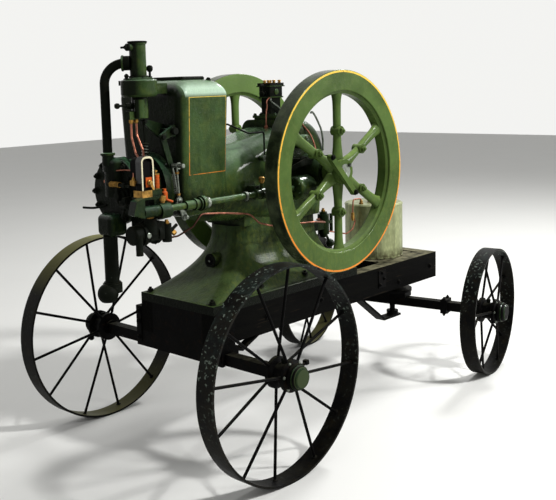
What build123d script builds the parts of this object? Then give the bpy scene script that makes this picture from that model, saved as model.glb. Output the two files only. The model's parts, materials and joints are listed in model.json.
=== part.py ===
from build123d import *
import math
import os

# A hopper-cooled stationary engine with two flywheels, on its four-wheel truck.
# Millimetres. x runs along the truck from the big-wheel axle to the steered axle,
# y runs across it with the side shaft on the negative side, z is height over the ground.

# Truck wheels and axles
big_wheel_d = 914.0
big_tyre_w = 89.0
big_track = 1197.0
small_wheel_d = 697.0
small_tyre_w = 82.0
small_track = 1154.0
tyre_t = 10.0
spoke_count = 12
spoke_d = 13.0
near_spoke_deg = 7.5
far_spoke_deg = 20.3
wheelbase = 1677.0
steer_rest_deg = 10.0
hub_flange_r = 68.0
hub_barrel_r = 46.0
hub_flange_t = 16.0
hub_inner = 54.0
hub_outer = 56.0
cap_r = 50.0
cap_len = 46.0
journal_r = 22.0
axle_side = 50.0
running_gap = 0.05
seat_gap = 0.3

# Truck sills and cross pieces
sill_h = 145.0
sill_w = 76.0
sill_bottom = 504.0
sill_half_w = 241.0
sill_front = -44.0
sill_back = 1765.0
bracket_reach = 44.0
board_t = 32.0
strap_t = 12.0
table_r = 114.0
table_top_r = 60.0
table_t = 36.0
king_post_r = 45.0
king_post_h = 62.0
king_pin_r = 16.0
lower_bolster_half_w = 100.0
strap_z = 248.0
strap_foot = 121.0
strap_head = 451.0
strap_half_w = 30.0

# Engine base
flange_t = 39.0
flange_back = 1000.0
flange_inset = 15.0
seat_z = 985.0
neck_front = 270.0
neck_back = 850.0
neck_half_w = 123.0
neck_corner_r = 85.0
foot_corner_r = 30.0
flare_power = 2.5
plug_r = 36.0
plug_z = 827.0
plug_out = 28.0

# Cylinder and water hopper
hopper_front = -150.0
hopper_back = 122.0
hopper_half_w = 187.0
hopper_flare = 25.0
hopper_front_flare = 10.0
hopper_back_flare = 16.0
hopper_corner_r = 40.0
crown_r = 80.0
crown_steps = 6
hopper_bottom = 1085.0
hopper_top = 1667.0
hopper_wall = 14.0
hopper_lip = 92.0
rim_out = 12.0
water_low = 1410.0
rim_h = 14.0
trunk_half_w = 183.0
trunk_low = 1030.0
trunk_high = 1335.0
trunk_end_high = 1430.0
trunk_corner_r = 150.0

# Crankcase
crank_x = 725.0
crank_z = 1213.0
case_front = 572.0
case_back = 890.0
case_foot_back = 852.0
case_belly_z = 1250.0
case_half_w = 145.0
case_top = 1465.0
case_arc_r = 190.0
case_edge_r = 55.0
bearing_r = 80.0
bearing_out = 280.0
gear_case_r = 56.0
gear_case_front = 520.0
gear_case_back = 636.0
cover_len = 148.0
cover_half_w = 80.0
cover_t = 12.0

# Lubricator on the crankcase
lub_x = 634.0
stand_h = 85.0
box_h = 55.0
lid_t = 18.0

# Crankshaft and flywheels
shaft_r = 38.0
flywheel_d = 965.0
flywheel_inner_d = 770.0
flywheel_w = 77.0
flywheel_out = 373.0
rib_w = 40.0
rib_h = 13.0
arm_count = 6
hub_r = 60.0
lug_pcd = 390.0
lug_r = 23.0
lug_hole_r = 8.5
bar_t = 23.0

# Side shaft on the near side
side_y = -230.0
side_z = 1147.0
side_r = 14.0
sleeve_r = 20.0
sleeve_x = -178.0
housing_x = -409.0
housing_step_x = -325.0
housing_end_x = -272.0
bearing_x = 299.0

# Cylinder head and exhaust
head_flange_r = 150.0
head_r = 128.0
head_cover_r = 142.0
head_flange_t = 34.0
head_front = -335.0
head_cover_t = 25.0
chest_x = -348.0
chest_r = 56.0
chest_low = 1298.0
chest_top = 1358.0
exhaust_x = -395.0
exhaust_r = 30.0
exhaust_low = 835.0
exhaust_high = 1030.0
exhaust_bore_r = 27.0
outlet_r = 44.0
outlet_shift = 26.0

# Mixer and the pipe to the intake valve
mix_x = -289.0
mix_y = -100.0
bowl_r = 75.0
bowl_low = 1606.0
bowl_h = 66.0
mix_tube_r = 34.0
mix_tube_h = 155.0
intake_x = -388.0
intake_z = 1740.0
intake_r = 19.5
intake_bend_r = 85.0

# Rocker gear on the hopper front
rock_x = -184.0
rock_z = 1457.0
cross_x = -200.0
cross_z = 1316.0

# Magneto and feed pump
magneto_x = -368.0
magneto_y = -208.0
magneto_z = 1232.0
pump_y = -160.5
pump_z = 1046.0
pump_r = 40.0
feed_x = 937.0
feed_y = -75.0

# Fuel tank
tank_r = 162.0
tank_h = 306.0
tank_x = 1494.0

# Sizes that follow from the ones above
big_r = big_wheel_d / 2
small_r = small_wheel_d / 2
steer_rest = math.radians(steer_rest_deg)
back_reach = (small_track / 2 + small_tyre_w / 2) * math.sin(steer_rest) + small_r * math.cos(steer_rest)
origin_x = (wheelbase + back_reach - big_r) / 2
sill_top = sill_bottom + sill_h
flange_top = sill_top + flange_t
near_sill_in = sill_half_w - sill_w
flywheel_r = flywheel_d / 2
flywheel_inner_r = flywheel_inner_d / 2
hopper_top_half_w = hopper_half_w + hopper_flare
head_back = hopper_front - 22

os.makedirs("parts", exist_ok=True)


def save(node, solid):
    """Write one sub-part, moved so that the origin is under the middle of the whole."""
    export_step(Pos(-origin_x, 0, 0) * solid, f"parts/{node}.step")


def block(x0, x1, y0, y1, z0, z1):
    centre = Pos((x0 + x1) / 2, (y0 + y1) / 2, (z0 + z1) / 2)
    return centre * Box(abs(x1 - x0), abs(y1 - y0), abs(z1 - z0))


def rod_x(x0, x1, y, z, r):
    return Pos((x0 + x1) / 2, y, z) * Rot(0, 90, 0) * Cylinder(r, abs(x1 - x0))


def rod_y(x, y0, y1, z, r):
    return Pos(x, (y0 + y1) / 2, z) * Rot(90, 0, 0) * Cylinder(r, abs(y1 - y0))


def rod_z(x, y, z0, z1, r):
    return Pos(x, y, (z0 + z1) / 2) * Cylinder(r, abs(z1 - z0))


def rod_between(start, end, r):
    run = Vector(*end) - Vector(*start)
    plane = Plane(origin=start, z_dir=run)
    return plane * Cylinder(r, run.length, align=(Align.CENTER, Align.CENTER, Align.MIN))


def bent_rod(points, bend_r, r):
    path = FilletPolyline(*points, radius=bend_r)
    section = Plane(origin=path @ 0, z_dir=path % 0) * Circle(r)
    return sweep(section, path=path)


def link(start, end, start_r, end_r, y0, y1):
    """A flat lever between two eyes, given as (x, z), that fills y0 to y1."""
    eyes = [Pos(start[0], start[1]) * Circle(start_r), Pos(end[0], end[1]) * Circle(end_r)]
    outline = make_hull([edge for eye in eyes for edge in eye.edges()])
    plate = extrude(outline, amount=abs(y1 - y0))
    return Pos(0, max(y0, y1), 0) * Rot(90, 0, 0) * plate


def rounded_section(x, y_half, z_low, z_high, corner_r):
    """A rounded rectangle that stands across the engine at one x."""
    plane = Plane(origin=(x, 0, (z_low + z_high) / 2), x_dir=(0, 1, 0), z_dir=(1, 0, 0))
    return plane * RectangleRounded(2 * y_half, z_high - z_low, corner_r)


# Wheels: local axis along y, outer side towards +y, centre of the tread at the origin
def tyre(radius, width):
    ring = Cylinder(radius, width) - Cylinder(radius - tyre_t, width + 2)
    return Rot(90, 0, 0) * ring


def wheel_centre(radius):
    inner, outer = -hub_inner, hub_outer
    profile = Polyline(
        (journal_r + running_gap, inner),
        (hub_barrel_r, inner),
        (hub_flange_r, inner + 8),
        (hub_flange_r, inner + 8 + hub_flange_t),
        (hub_barrel_r, inner + 16 + hub_flange_t),
        (hub_barrel_r, outer - 16 - hub_flange_t),
        (hub_flange_r, outer - 8 - hub_flange_t),
        (hub_flange_r, outer - 8),
        (cap_r, outer),
        (cap_r, outer + cap_len * 0.7),
        (cap_r * 0.72, outer + cap_len),
        (0, outer + cap_len),
        (0, outer + cap_len * 0.7),
        (journal_r + running_gap, outer + cap_len * 0.7),
        close=True,
    )
    hub = revolve(make_face(profile), Axis.Y)
    spokes = []
    for i in range(spoke_count):
        side = 1 if i % 2 else -1
        flange_mid = outer - 8 - hub_flange_t / 2 if side > 0 else inner + 8 + hub_flange_t / 2
        start = (0, flange_mid, hub_flange_r - 12)
        end = (0, side * spoke_d * 0.9, radius)
        spokes.append(Rot(0, i * 360 / spoke_count, 0) * rod_between(start, end, spoke_d / 2))
    ring = Cylinder(radius - tyre_t - seat_gap, 4 * hub_outer)
    ring -= Cylinder(hub_flange_r + seat_gap, 5 * hub_outer)
    trimmed = [solid for spoke in spokes for solid in (spoke & (Rot(90, 0, 0) * ring)).solids()]
    return Compound(children=[hub.solid()] + trimmed)


def place_wheel(solid, side, track, height):
    """Put a wheel on one side, with its outer face away from the truck and its spokes as they stand."""
    turn = 0 if side > 0 else 180
    spoke_turn = far_spoke_deg if side > 0 else near_spoke_deg
    return Pos(0, side * track / 2, height) * Rot(0, spoke_turn, 0) * Rot(0, 0, turn) * solid


def axle(track, height):
    """A square bar with a collar and a round journal at each end, along y at x = 0."""
    half = axle_side / 2
    collar_in = track / 2 - hub_inner - 17
    bar = block(-half, half, -collar_in, collar_in, height - half, height + half)
    for side in (-1, 1):
        bar += rod_y(0, side * collar_in, side * (collar_in + 14), height, journal_r + 14)
        bar += rod_y(0, side * collar_in, side * (track / 2 + hub_outer + cap_len * 0.7 - 3), height, journal_r)
    return bar


big_tyre = tyre(big_r, big_tyre_w)
big_centre = wheel_centre(big_r)
small_tyre = tyre(small_r, small_tyre_w)
small_centre = wheel_centre(small_r)
steer_place = Pos(wheelbase, 0, 0) * Rot(0, 0, steer_rest_deg)
for name, side in (("near", -1), ("far", 1)):
    save(f"big_wheel_{name}_tyre", place_wheel(big_tyre, side, big_track, big_r))
    save(f"big_wheel_{name}_hub_and_spokes", place_wheel(big_centre, side, big_track, big_r))
    small_tyre_here = place_wheel(small_tyre, side, small_track, small_r)
    small_centre_here = place_wheel(small_centre, side, small_track, small_r)
    save(f"small_wheel_{name}_tyre", steer_place * small_tyre_here)
    save(f"small_wheel_{name}_hub_and_spokes", steer_place * small_centre_here)

# Truck frame
for name, side in (("near", -1), ("far", 1)):
    sill = block(sill_front, sill_back, side * near_sill_in, side * sill_half_w, sill_bottom, sill_top)
    save(f"{name}_sill", sill)

axle_low = big_r - axle_side / 2
bolster_low = axle_low - 4
plate_back = -axle_side / 2
bolster_w = sill_half_w + bracket_reach
low_bolster = block(sill_front, 60, -bolster_w, bolster_w, bolster_low, sill_bottom)
low_bolster -= block(plate_back, axle_side / 2, -bolster_w, bolster_w, bolster_low - 1, axle_low + axle_side)
low_bolster += block(sill_front, 40, -near_sill_in, near_sill_in, sill_bottom, sill_top)
for side in (-1, 1):
    low_bolster += block(sill_front, 40, side * sill_half_w, side * bolster_w, sill_bottom, sill_top - 30)
save("front_bolster", low_bolster)
save("big_wheel_axle", axle(big_track, big_r))

rear_cross = block(sill_back - 70, sill_back, -near_sill_in, near_sill_in, sill_bottom + 20, sill_top)
save("rear_cross_member", rear_cross)
board_front = tank_x - tank_r - 20
board_back = tank_x + tank_r + 20
tank_board = block(board_front, board_back, -near_sill_in, near_sill_in, sill_top - board_t, sill_top)
save("tank_board", tank_board)

braces = []
for side in (-1, 1):
    y_mid = side * (near_sill_in + sill_w / 2)
    line = Polyline(
        (60, sill_bottom - 34),
        (150, sill_bottom - 60),
        (260, sill_bottom - strap_t),
        (360, sill_bottom - strap_t),
        (360, sill_bottom),
        (264, sill_bottom),
        (152, sill_bottom - 60 + strap_t),
        (60, sill_bottom - 34 + strap_t),
        close=True,
    )
    strap = extrude(Plane.XZ * make_face(line), amount=22, both=True)
    braces += (Pos(0, y_mid, 0) * strap).solids()
save("axle_braces", Compound(children=braces))

# Steered axle, its turntable and the strap that holds the foot of the king pin
table_low = sill_bottom - king_post_h
lower_top = table_low - seat_gap
axle_top = small_r + axle_side / 2
upper = block(wheelbase - 48, wheelbase + 48, -near_sill_in, near_sill_in, sill_bottom, sill_bottom + 20)
upper += rod_z(wheelbase, 0, table_low, sill_bottom, king_post_r)
upper += rod_z(wheelbase, 0, strap_z + strap_t, table_low, king_pin_r)
save("upper_bolster", upper)

pin_hole = rod_z(0, 0, 0, sill_bottom, king_pin_r + running_gap)
table_edge = lower_top - table_t * 0.6
lower = Pos(0, 0, (table_edge + lower_top) / 2) * Cone(table_r, table_top_r, lower_top - table_edge)
lower += rod_z(0, 0, lower_top - table_t, table_edge, table_r)
lower += block(-46, 46, -lower_bolster_half_w, lower_bolster_half_w, axle_top, lower_top - table_t)
save("lower_bolster", steer_place * (lower - pin_hole))
save("small_wheel_axle", steer_place * (axle(small_track, small_r) - pin_hole))
clamps = []
for side in (-1, 1):
    y_mid = side * 330
    yoke = block(-40, 40, y_mid - 18, y_mid + 18, small_r - 40, small_r + 40)
    half = axle_side / 2
    yoke -= block(-half, half, y_mid - 30, y_mid + 30, small_r - half, small_r + half)
    clamps += (steer_place * yoke).solids()
save("axle_clamps", Compound(children=clamps))

foot_x = wheelbase - strap_foot
head_x = wheelbase - strap_head
strap_line = Polyline(
    (wheelbase + 45, strap_z),
    (wheelbase + 45, strap_z + strap_t),
    (foot_x + 3, strap_z + strap_t),
    (head_x, sill_bottom),
    (head_x - 90, sill_bottom),
    (head_x - 90, sill_bottom - strap_t),
    (head_x - 6, sill_bottom - strap_t),
    (foot_x - 4, strap_z),
    close=True,
)
strap = extrude(Plane.XZ * make_face(strap_line), amount=strap_half_w, both=True)
strap += block(head_x - 90, head_x - 40, -near_sill_in, near_sill_in, sill_bottom, sill_bottom + 40)
strap += rod_z(wheelbase, 0, strap_z + strap_t, strap_z + strap_t + 24, 34)
strap -= rod_z(wheelbase, 0, strap_z + strap_t, strap_z + strap_t + 30, king_pin_r + running_gap)
save("king_pin_strap", strap)


# Flared cast base
def base_front(t):
    return neck_front + (sill_front + flange_inset - neck_front) * (1 - t) ** flare_power


def base_section(t):
    flare = (1 - t) ** flare_power
    front = base_front(t)
    back = neck_back + (flange_back - flange_inset - neck_back) * flare
    half = neck_half_w + (sill_half_w - flange_inset - neck_half_w) * flare
    corner = neck_corner_r + (foot_corner_r - neck_corner_r) * flare
    height = flange_top + t * (seat_z - flange_top)
    return Plane(origin=((front + back) / 2, 0, height)) * RectangleRounded(back - front, 2 * half, corner)


base = loft([base_section(t) for t in (0, 0.12, 0.26, 0.42, 0.62, 0.82, 1)])
base += block(sill_front, flange_back, -sill_half_w, sill_half_w, sill_top, flange_top)
plug_face = base_front((plug_z - flange_top) / (seat_z - flange_top)) - plug_out
plug = rod_x(plug_face, neck_front + 40, 0, plug_z, plug_r)
base += fillet(plug.faces().sort_by(Axis.X)[0].edges(), 4)
save("base_pedestal", base)


# Cylinder casting with its water hopper and the trunk towards the crankcase
def hopper_section(z, inset=0.0):
    """The outline of the hopper at one height; the walls lean outwards."""
    share = (z - hopper_bottom) / (hopper_top - hopper_bottom)
    front = hopper_front - hopper_front_flare * share + inset
    back = hopper_back + hopper_back_flare * share - inset
    half = hopper_half_w + hopper_flare * share - inset
    return Plane(origin=((front + back) / 2, 0, z)) * RectangleRounded(back - front, 2 * half, hopper_corner_r)


shoulder_z = hopper_top - crown_r
crown_turns = [math.pi / 2 * i / crown_steps for i in range(crown_steps + 1)]
hopper = loft([hopper_section(hopper_bottom), hopper_section(shoulder_z)])
hopper = fillet(hopper.faces().sort_by(Axis.Z)[0].edges(), 34)
crown = [hopper_section(shoulder_z + crown_r * math.sin(a), crown_r * (1 - math.cos(a))) for a in crown_turns]
hopper += loft(crown)
water = block(
    hopper_front + hopper_wall,
    hopper_back - hopper_wall,
    -hopper_half_w + hopper_wall,
    hopper_half_w - hopper_wall,
    water_low,
    hopper_top - hopper_wall - crown_r / 3,
)
mouth_front = hopper_front - hopper_front_flare + hopper_lip
mouth_back = hopper_back + hopper_back_flare - hopper_lip
mouth_half_w = hopper_top_half_w - hopper_lip
mouth = block(mouth_front, mouth_back, -mouth_half_w, mouth_half_w, water_low, hopper_top + 1)
trunk = loft([
    rounded_section(hopper_back - 30, trunk_half_w, trunk_low, trunk_high, trunk_corner_r),
    rounded_section(case_front, case_half_w, seat_z, trunk_end_high, case_edge_r),
])
cylinder = hopper + trunk
cylinder += block(neck_front + 20, case_front, -neck_half_w, neck_half_w, seat_z, seat_z + 160)
cylinder += rod_x(head_back, hopper_front + 10, 0, crank_z, head_flange_r)
cylinder += block(bearing_x - 30, bearing_x + 30, side_y + 26, -120, side_z - 22, side_z + 34)
rod_boss = (366.0, -190.0, 1300.0)
cylinder += rod_y(rod_boss[0], rod_boss[1] - 8, -110, rod_boss[2], 12)
cylinder -= water
cylinder -= mouth
save("cylinder_and_hopper", cylinder)

lip = block(
    mouth_front - rim_out,
    mouth_back + rim_out,
    -mouth_half_w - rim_out,
    mouth_half_w + rim_out,
    hopper_top,
    hopper_top + rim_h,
)
lip = fillet(lip.edges().filter_by(Axis.Z), 10)
lip = chamfer(lip.faces().sort_by(Axis.Z)[-1].edges(), 5)
save("hopper_rim", lip - Pos(0, 0, rim_h) * mouth)

# Crankcase
side_line = Polyline(
    (case_front, seat_z),
    (case_front, case_top),
    (case_back, case_top),
    (case_back, case_belly_z),
    (case_foot_back, seat_z),
    close=True,
)
profile = make_face(side_line)
arc_corner = profile.vertices().sort_by(Axis.Y)[-2:].sort_by(Axis.X)[-1]
profile = fillet(arc_corner, case_arc_r)
case = extrude(Plane.XZ * profile, amount=case_half_w, both=True)
rim_edges = [
    edge for edge in case.edges()
    if abs(abs(edge.center().Y) - case_half_w) < 1
    and edge.center().Z > seat_z + 1
    and edge.center().X > case_front + 1
]
case = fillet(rim_edges, case_edge_r)
cover_front = case_front + 2
cover_back = cover_front + cover_len
pad_w = cover_half_w - 7
pad_top = case_top + 8
pad = block(cover_front + 5, cover_back - 5, -pad_w, pad_w, case_top - 60, pad_top)
case += fillet(pad.edges().filter_by(Axis.Z), 16)
for side in (-1, 1):
    case += rod_y(crank_x, side * 100, side * bearing_out, crank_z, bearing_r)
drum = rod_x(gear_case_front, gear_case_back, side_y, side_z, gear_case_r)
drum = fillet(drum.edges().filter_by(GeomType.CIRCLE), 16)
case += drum
case += block(case_front, gear_case_back - 14, side_y + 20, -case_half_w + 30, side_z - 42, side_z + 42)
case -= rod_y(crank_x, -bearing_out - 1, bearing_out + 1, crank_z, shaft_r + running_gap)
side_end = gear_case_front + 70
case -= rod_x(gear_case_front - 10, side_end + 3, side_y, side_z, side_r + running_gap)
save("crankcase", case)
cover = block(cover_front, cover_back, -cover_half_w, cover_half_w, pad_top, pad_top + cover_t)
save("crankcase_cover", fillet(cover.edges().filter_by(Axis.Z), 18))

# Lubricator on the crankcase
lub_z = pad_top + cover_t
box_z = lub_z + stand_h
stand = block(lub_x - 44, lub_x + 44, -30, 30, lub_z, box_z)
save("lubricator_stand", chamfer(stand.edges().filter_by(Axis.Z), 8))
box = block(lub_x - 48, lub_x + 48, -36, 36, box_z, box_z + box_h)
box += block(lub_x - 54, lub_x + 54, -42, 42, box_z + box_h, box_z + box_h + lid_t)
save("lubricator_box", fillet(box.edges().filter_by(Axis.Z), 6))

# Crankshaft and flywheels
shaft_out = flywheel_out + 8
save("crankshaft", rod_y(crank_x, -shaft_out, shaft_out, crank_z, shaft_r))


def flywheel():
    """A flywheel at the origin, axis along y, outer face towards +y."""
    rim_mid = (flywheel_r + flywheel_inner_r) / 2
    wheel = revolve(Pos(rim_mid, 0) * RectangleRounded(flywheel_r - flywheel_inner_r, flywheel_w, 5), Axis.Y)
    rib = Polyline(
        (flywheel_inner_r + 2, -rib_w * 0.75),
        (flywheel_inner_r - rib_h, -rib_w / 2),
        (flywheel_inner_r - rib_h, rib_w / 2),
        (flywheel_inner_r + 2, rib_w * 0.75),
        close=True,
    )
    wheel += revolve(make_face(rib), Axis.Y)
    wheel += Pos(0, -2, 0) * Rot(90, 0, 0) * Cylinder(hub_r, flywheel_w + 17)
    stations = (
        (hub_r * 0.6, 78, 46),
        (hub_r * 1.6, 58, 40),
        (lug_pcd / 2 + 60, 46, 34),
        (flywheel_inner_r - 62, 50, 34),
        (flywheel_inner_r - 24, 64, 38),
        (flywheel_inner_r + 3, 106, 44),
    )
    arm = loft([Pos(0, 0, r) * Ellipse(wide / 2, thick / 2) for r, wide, thick in stations])
    lug = rod_y(0, -24, 26, lug_pcd / 2, lug_r)
    hole = rod_y(0, -40, 40, lug_pcd / 2, lug_hole_r)
    turns = [Rot(0, i * 360 / arm_count, 0) for i in range(arm_count)]
    for turn in turns:
        wheel += turn * arm
        wheel += turn * lug
    for turn in turns:
        wheel -= turn * hole
    return wheel - Rot(90, 0, 0) * Cylinder(shaft_r + 0.02, 2 * flywheel_w + 50)


wheel = flywheel()
mid_y = flywheel_out - flywheel_w / 2
save("flywheel_far", Pos(crank_x, mid_y, crank_z) * wheel)
save("flywheel_near", Pos(crank_x, -mid_y, crank_z) * Rot(0, 0, 180) * wheel)
bar = link((crank_x - 126, crank_z + 80), (crank_x + 48, crank_z - 101), 14, 14, -shaft_out - bar_t, -shaft_out)
save("starting_bar", bar)

# Side shaft and its bearings
shaft = rod_x(housing_x - 6, side_end, side_y, side_z, side_r)
shaft += rod_x(sleeve_x, sleeve_x + 100, side_y, side_z, sleeve_r)
shaft += rod_x(sleeve_x + 50, sleeve_x + 60, side_y, side_z, sleeve_r + 5)
shaft += rod_x(sleeve_x + 78, sleeve_x + 84, side_y, side_z, sleeve_r + 7)
shaft += rod_x(sleeve_x + 90, sleeve_x + 108, side_y, side_z, sleeve_r + 12)
save("side_shaft", shaft)
bearing = block(bearing_x - 34, bearing_x + 34, side_y, side_y + 26, side_z - 18, side_z + 26)
bearing += rod_x(bearing_x - 49, bearing_x + 49, side_y, side_z, 22)
bearing += rod_x(bearing_x - 14, bearing_x + 14, side_y, side_z, 26)
bearing += rod_z(bearing_x, side_y, side_z + 20, side_z + 48, 8)
bearing -= rod_x(bearing_x - 60, bearing_x + 60, side_y, side_z, side_r + running_gap)
save("side_shaft_bearing", bearing)

# Cylinder head
cover_face = head_front - head_cover_t
head = rod_x(head_back, head_back - head_flange_t, 0, crank_z, head_flange_r)
head += rod_x(head_back - head_flange_t, head_front, 0, crank_z, head_r)
head += fillet(rod_x(head_front, cover_face, 0, crank_z, head_cover_r).faces().sort_by(Axis.X)[0].edges(), 6)
head += rod_z(chest_x, 0, crank_z - 20, chest_low, chest_r - 6)
exhaust_chest = block(exhaust_x - exhaust_r - 3, head_front, -50, 50, exhaust_high, exhaust_high + 92)
head += fillet(exhaust_chest.edges(), 22)
pump_seat_y = pump_y + pump_r + seat_gap
head += block(head_front + 8, -250, pump_seat_y, -60, pump_z - 16, side_z + 43)
head -= rod_z(chest_x, 0, chest_low, chest_top + 20, chest_r + seat_gap)
save("cylinder_head", head)
chest = rod_z(chest_x, 0, chest_low, chest_top, chest_r)
chest = fillet(chest.faces().sort_by(Axis.Z)[-1].edges(), 28)
chest += rod_z(intake_x, 0, chest_top - 34, chest_top + 10, intake_r + 5)
save("intake_valve_housing", chest)

save("exhaust_pipe", rod_z(exhaust_x, 0, exhaust_low, exhaust_high, exhaust_r))
outlet_x = exhaust_x - outlet_shift
outlet = rod_z(exhaust_x, 0, exhaust_low - outlet_r, exhaust_low - 6, exhaust_r + 11)
outlet += rod_z(exhaust_x, 0, exhaust_low - 6, exhaust_low, exhaust_r + 6)
outlet += Pos(outlet_x, 0, exhaust_low - outlet_r - 3) * Sphere(outlet_r)
outlet -= rod_z(outlet_x, 0, exhaust_low - 2 * outlet_r - 3, exhaust_low - 2 * outlet_r + 3, outlet_r)
outlet -= rod_z(outlet_x, 0, exhaust_low - 2 * outlet_r, exhaust_low - outlet_r, exhaust_bore_r)
save("exhaust_outlet", outlet)

# Mixer on the hopper front, with its air tube and the pipe to the intake valve
bowl_high = bowl_low + bowl_h
tube_top = bowl_high + mix_tube_h
bowl = rod_z(mix_x, mix_y, bowl_low, bowl_high, bowl_r)
bowl = fillet(bowl.edges().filter_by(GeomType.CIRCLE), 8)
bowl += block(mix_x, hopper_front - hopper_front_flare + 6, mix_y - 22, mix_y + 22, bowl_low + 6, bowl_low + 49)
bowl -= hopper
bowl += block(mix_x - 12, mix_x + 12, mix_y + bowl_r - 8, mix_y + bowl_r + 42, bowl_high - 22, bowl_high - 2)
save("mixer_bowl", bowl)
tube = rod_z(mix_x, mix_y, bowl_high, tube_top - 12, mix_tube_r)
tube += rod_z(mix_x, mix_y, bowl_high, bowl_high + 16, mix_tube_r + 6)
tube += rod_z(mix_x, mix_y, tube_top - 12, tube_top, mix_tube_r + 4)
tube += rod_x(mix_x - 50, mix_x, mix_y, tube_top - 25, 13)
save("mixer_tube", tube)
throttle = rod_z(mix_x, mix_y, bowl_low - 91, bowl_low, 34)
throttle += rod_z(mix_x - 30, mix_y - 34, bowl_low - 88, bowl_low - 15, 22)
throttle += rod_x(mix_x - 60, mix_x, mix_y + 14, bowl_low - 40, 12)
throttle += block(mix_x - 78, mix_x - 10, mix_y - 28, mix_y + 6, bowl_low - 94, bowl_low - 62)
save("throttle_body", throttle)
run_out = Vector(mix_x - intake_x, mix_y, 0).normalized()
gap = Vector(mix_x - intake_x, mix_y, 0).length - mix_tube_r
end = Vector(intake_x, 0, intake_z) + run_out * gap
intake = bent_rod([(intake_x, 0, chest_top + 10), (intake_x, 0, intake_z), tuple(end)], intake_bend_r, intake_r)
intake += rod_between(tuple(end - run_out * 34), tuple(end + run_out * 2), intake_r + 10)
save("intake_pipe", intake - rod_z(mix_x, mix_y, bowl_high, tube_top, mix_tube_r))

# Rocker gear on the hopper front
rocker = rod_y(rock_x, -188, -84, rock_z, 12)
rocker += block(rock_x, hopper_front - 3, -168, -132, rock_z - 24, rock_z + 24)
rocker += link((rock_x, rock_z), (rock_x - 92, rock_z + 44), 30, 10, -113, -97)
rocker += link((rock_x, rock_z), (rock_x - 56, rock_z - 22), 20, 14, -181, -169)
rocker += link((rock_x - 56, rock_z - 22), (cross_x, cross_z), 14, 13, -181, -169)
rocker += rod_y(cross_x, -250, -150, cross_z, 8)
rocker -= hopper
save("rocker_levers", rocker)
eye = (-183.0, 1169.0)
rods = rod_between((cross_x, -187, cross_z - 8.9), (eye[0], -199, eye[1]), 4)
rods += rod_between((cross_x, -213, cross_z - 8.9), (eye[0], -203, eye[1] + 9), 4)
rods += rod_y(eye[0], -205, -195, eye[1], 15)
rods += link(eye, (-153, 1095), 9, 14, -203, -197)
save("push_rods", rods)

# Front housing of the side shaft, magneto and pump below it
housing = rod_x(housing_x, housing_step_x, side_y, side_z, 24)
housing += rod_x(housing_step_x, housing_end_x, side_y, side_z - 5, 32)
housing += block(head_front + 8, housing_end_x - 18, side_y, pump_seat_y, side_z - 20, side_z + 20)
wedge_line = Polyline(
    (housing_x - 57, side_z - 4),
    (housing_x, side_z - 23),
    (housing_x, side_z + 60),
    (housing_x - 41, side_z + 49),
    close=True,
)
wedge = extrude(Plane.XZ * make_face(wedge_line), amount=20, both=True)
housing += Pos(0, side_y, 0) * wedge
housing += block(-352, -322, -205, -160, side_z, magneto_z - 27)
housing += block(magneto_x - 34, -290, -235, -160, magneto_z - 37, magneto_z - 27)
housing += block(magneto_x + 16.3, -300, magneto_y - 22, -160, magneto_z - 27, magneto_z)
housing -= rod_x(housing_x - 9, housing_end_x + 10, side_y, side_z, side_r + running_gap)
save("side_shaft_housing", housing)
foot = block(magneto_x - 36, magneto_x + 16, magneto_y - 22, magneto_y + 32, magneto_z - 27, magneto_z)
save("magneto_base", foot)
magneto = block(magneto_x - 23, magneto_x + 23, magneto_y - 12, magneto_y + 30, magneto_z, magneto_z + 114)
save("magneto_body", fillet(magneto.edges().filter_by(Axis.Y), 8))
arch = block(magneto_x - 32, magneto_x + 32, magneto_y - 18, magneto_y + 18, magneto_z, magneto_z + 136)
arch = fillet(arch.faces().sort_by(Axis.Z)[-1].edges().filter_by(Axis.Y), 24)
void = block(magneto_x - 25, magneto_x + 25, magneto_y - 30, magneto_y + 40, magneto_z - 20, magneto_z + 128)
arch -= fillet(void.faces().sort_by(Axis.Z)[-1].edges().filter_by(Axis.Y), 16)
save("magneto_magnets", arch)
coil = block(magneto_x + 48, magneto_x + 62, magneto_y - 14, magneto_y + 14, magneto_z, magneto_z + 58)
save("magneto_coil", fillet(coil.edges().filter_by(Axis.Z), 5))
pump = fillet(rod_x(-416, -240, pump_y, pump_z, pump_r).edges().filter_by(GeomType.CIRCLE), 10)
pump += rod_x(-372, -352, pump_y, pump_z, pump_r + 8)
pump += rod_x(-300, -284, pump_y, pump_z, pump_r + 8)
pump += block(-345, -270, pump_y - 42, pump_y + 22, pump_z - 26, pump_z + 47)
pump += rod_z(-336, pump_y - 32, pump_z, pump_z + 66, 26)
pump += rod_z(-250, pump_y - 32, pump_z - 42, pump_z + 34, 20)
pump += rod_z(-395, pump_y - 27, pump_z - 80, pump_z, 15)
pump += rod_between((-262, pump_y - 34, pump_z - 18), (-196, pump_y - 34, pump_z + 22), 7)
pump -= block(head_front, -245, pump_seat_y - seat_gap, 0, pump_z - 60, pump_z + 60)
save("fuel_pump", pump)

# Fuel tank
tank_top = sill_top + tank_h
tank = rod_z(tank_x, 0, sill_top, tank_top, tank_r)
tank = fillet(tank.faces().sort_by(Axis.Z)[-1].edges(), 8)
save("fuel_tank", tank)
save("fuel_tank_cap", rod_z(tank_x, 0, tank_top, tank_top + 26, 34))

# Feed pump behind the base
feed = rod_z(feed_x, feed_y, 855, 961, 30)
feed += rod_z(feed_x, feed_y, 840, 972, 20)
feed += block(neck_back - 30, feed_x, feed_y - 22, feed_y + 22, 884, 928)
feed += block(feed_x, feed_x + 66, feed_y - 9, feed_y + 9, 905, 921)
feed += rod_z(feed_x + 66, feed_y, 862, 955, 9)
feed += rod_between((feed_x + 8, feed_y, 868), (feed_x + 52, feed_y, 800), 7)
feed += Pos(feed_x + 52, feed_y, 799) * Sphere(23)
save("feed_pump", feed - base)

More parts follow.
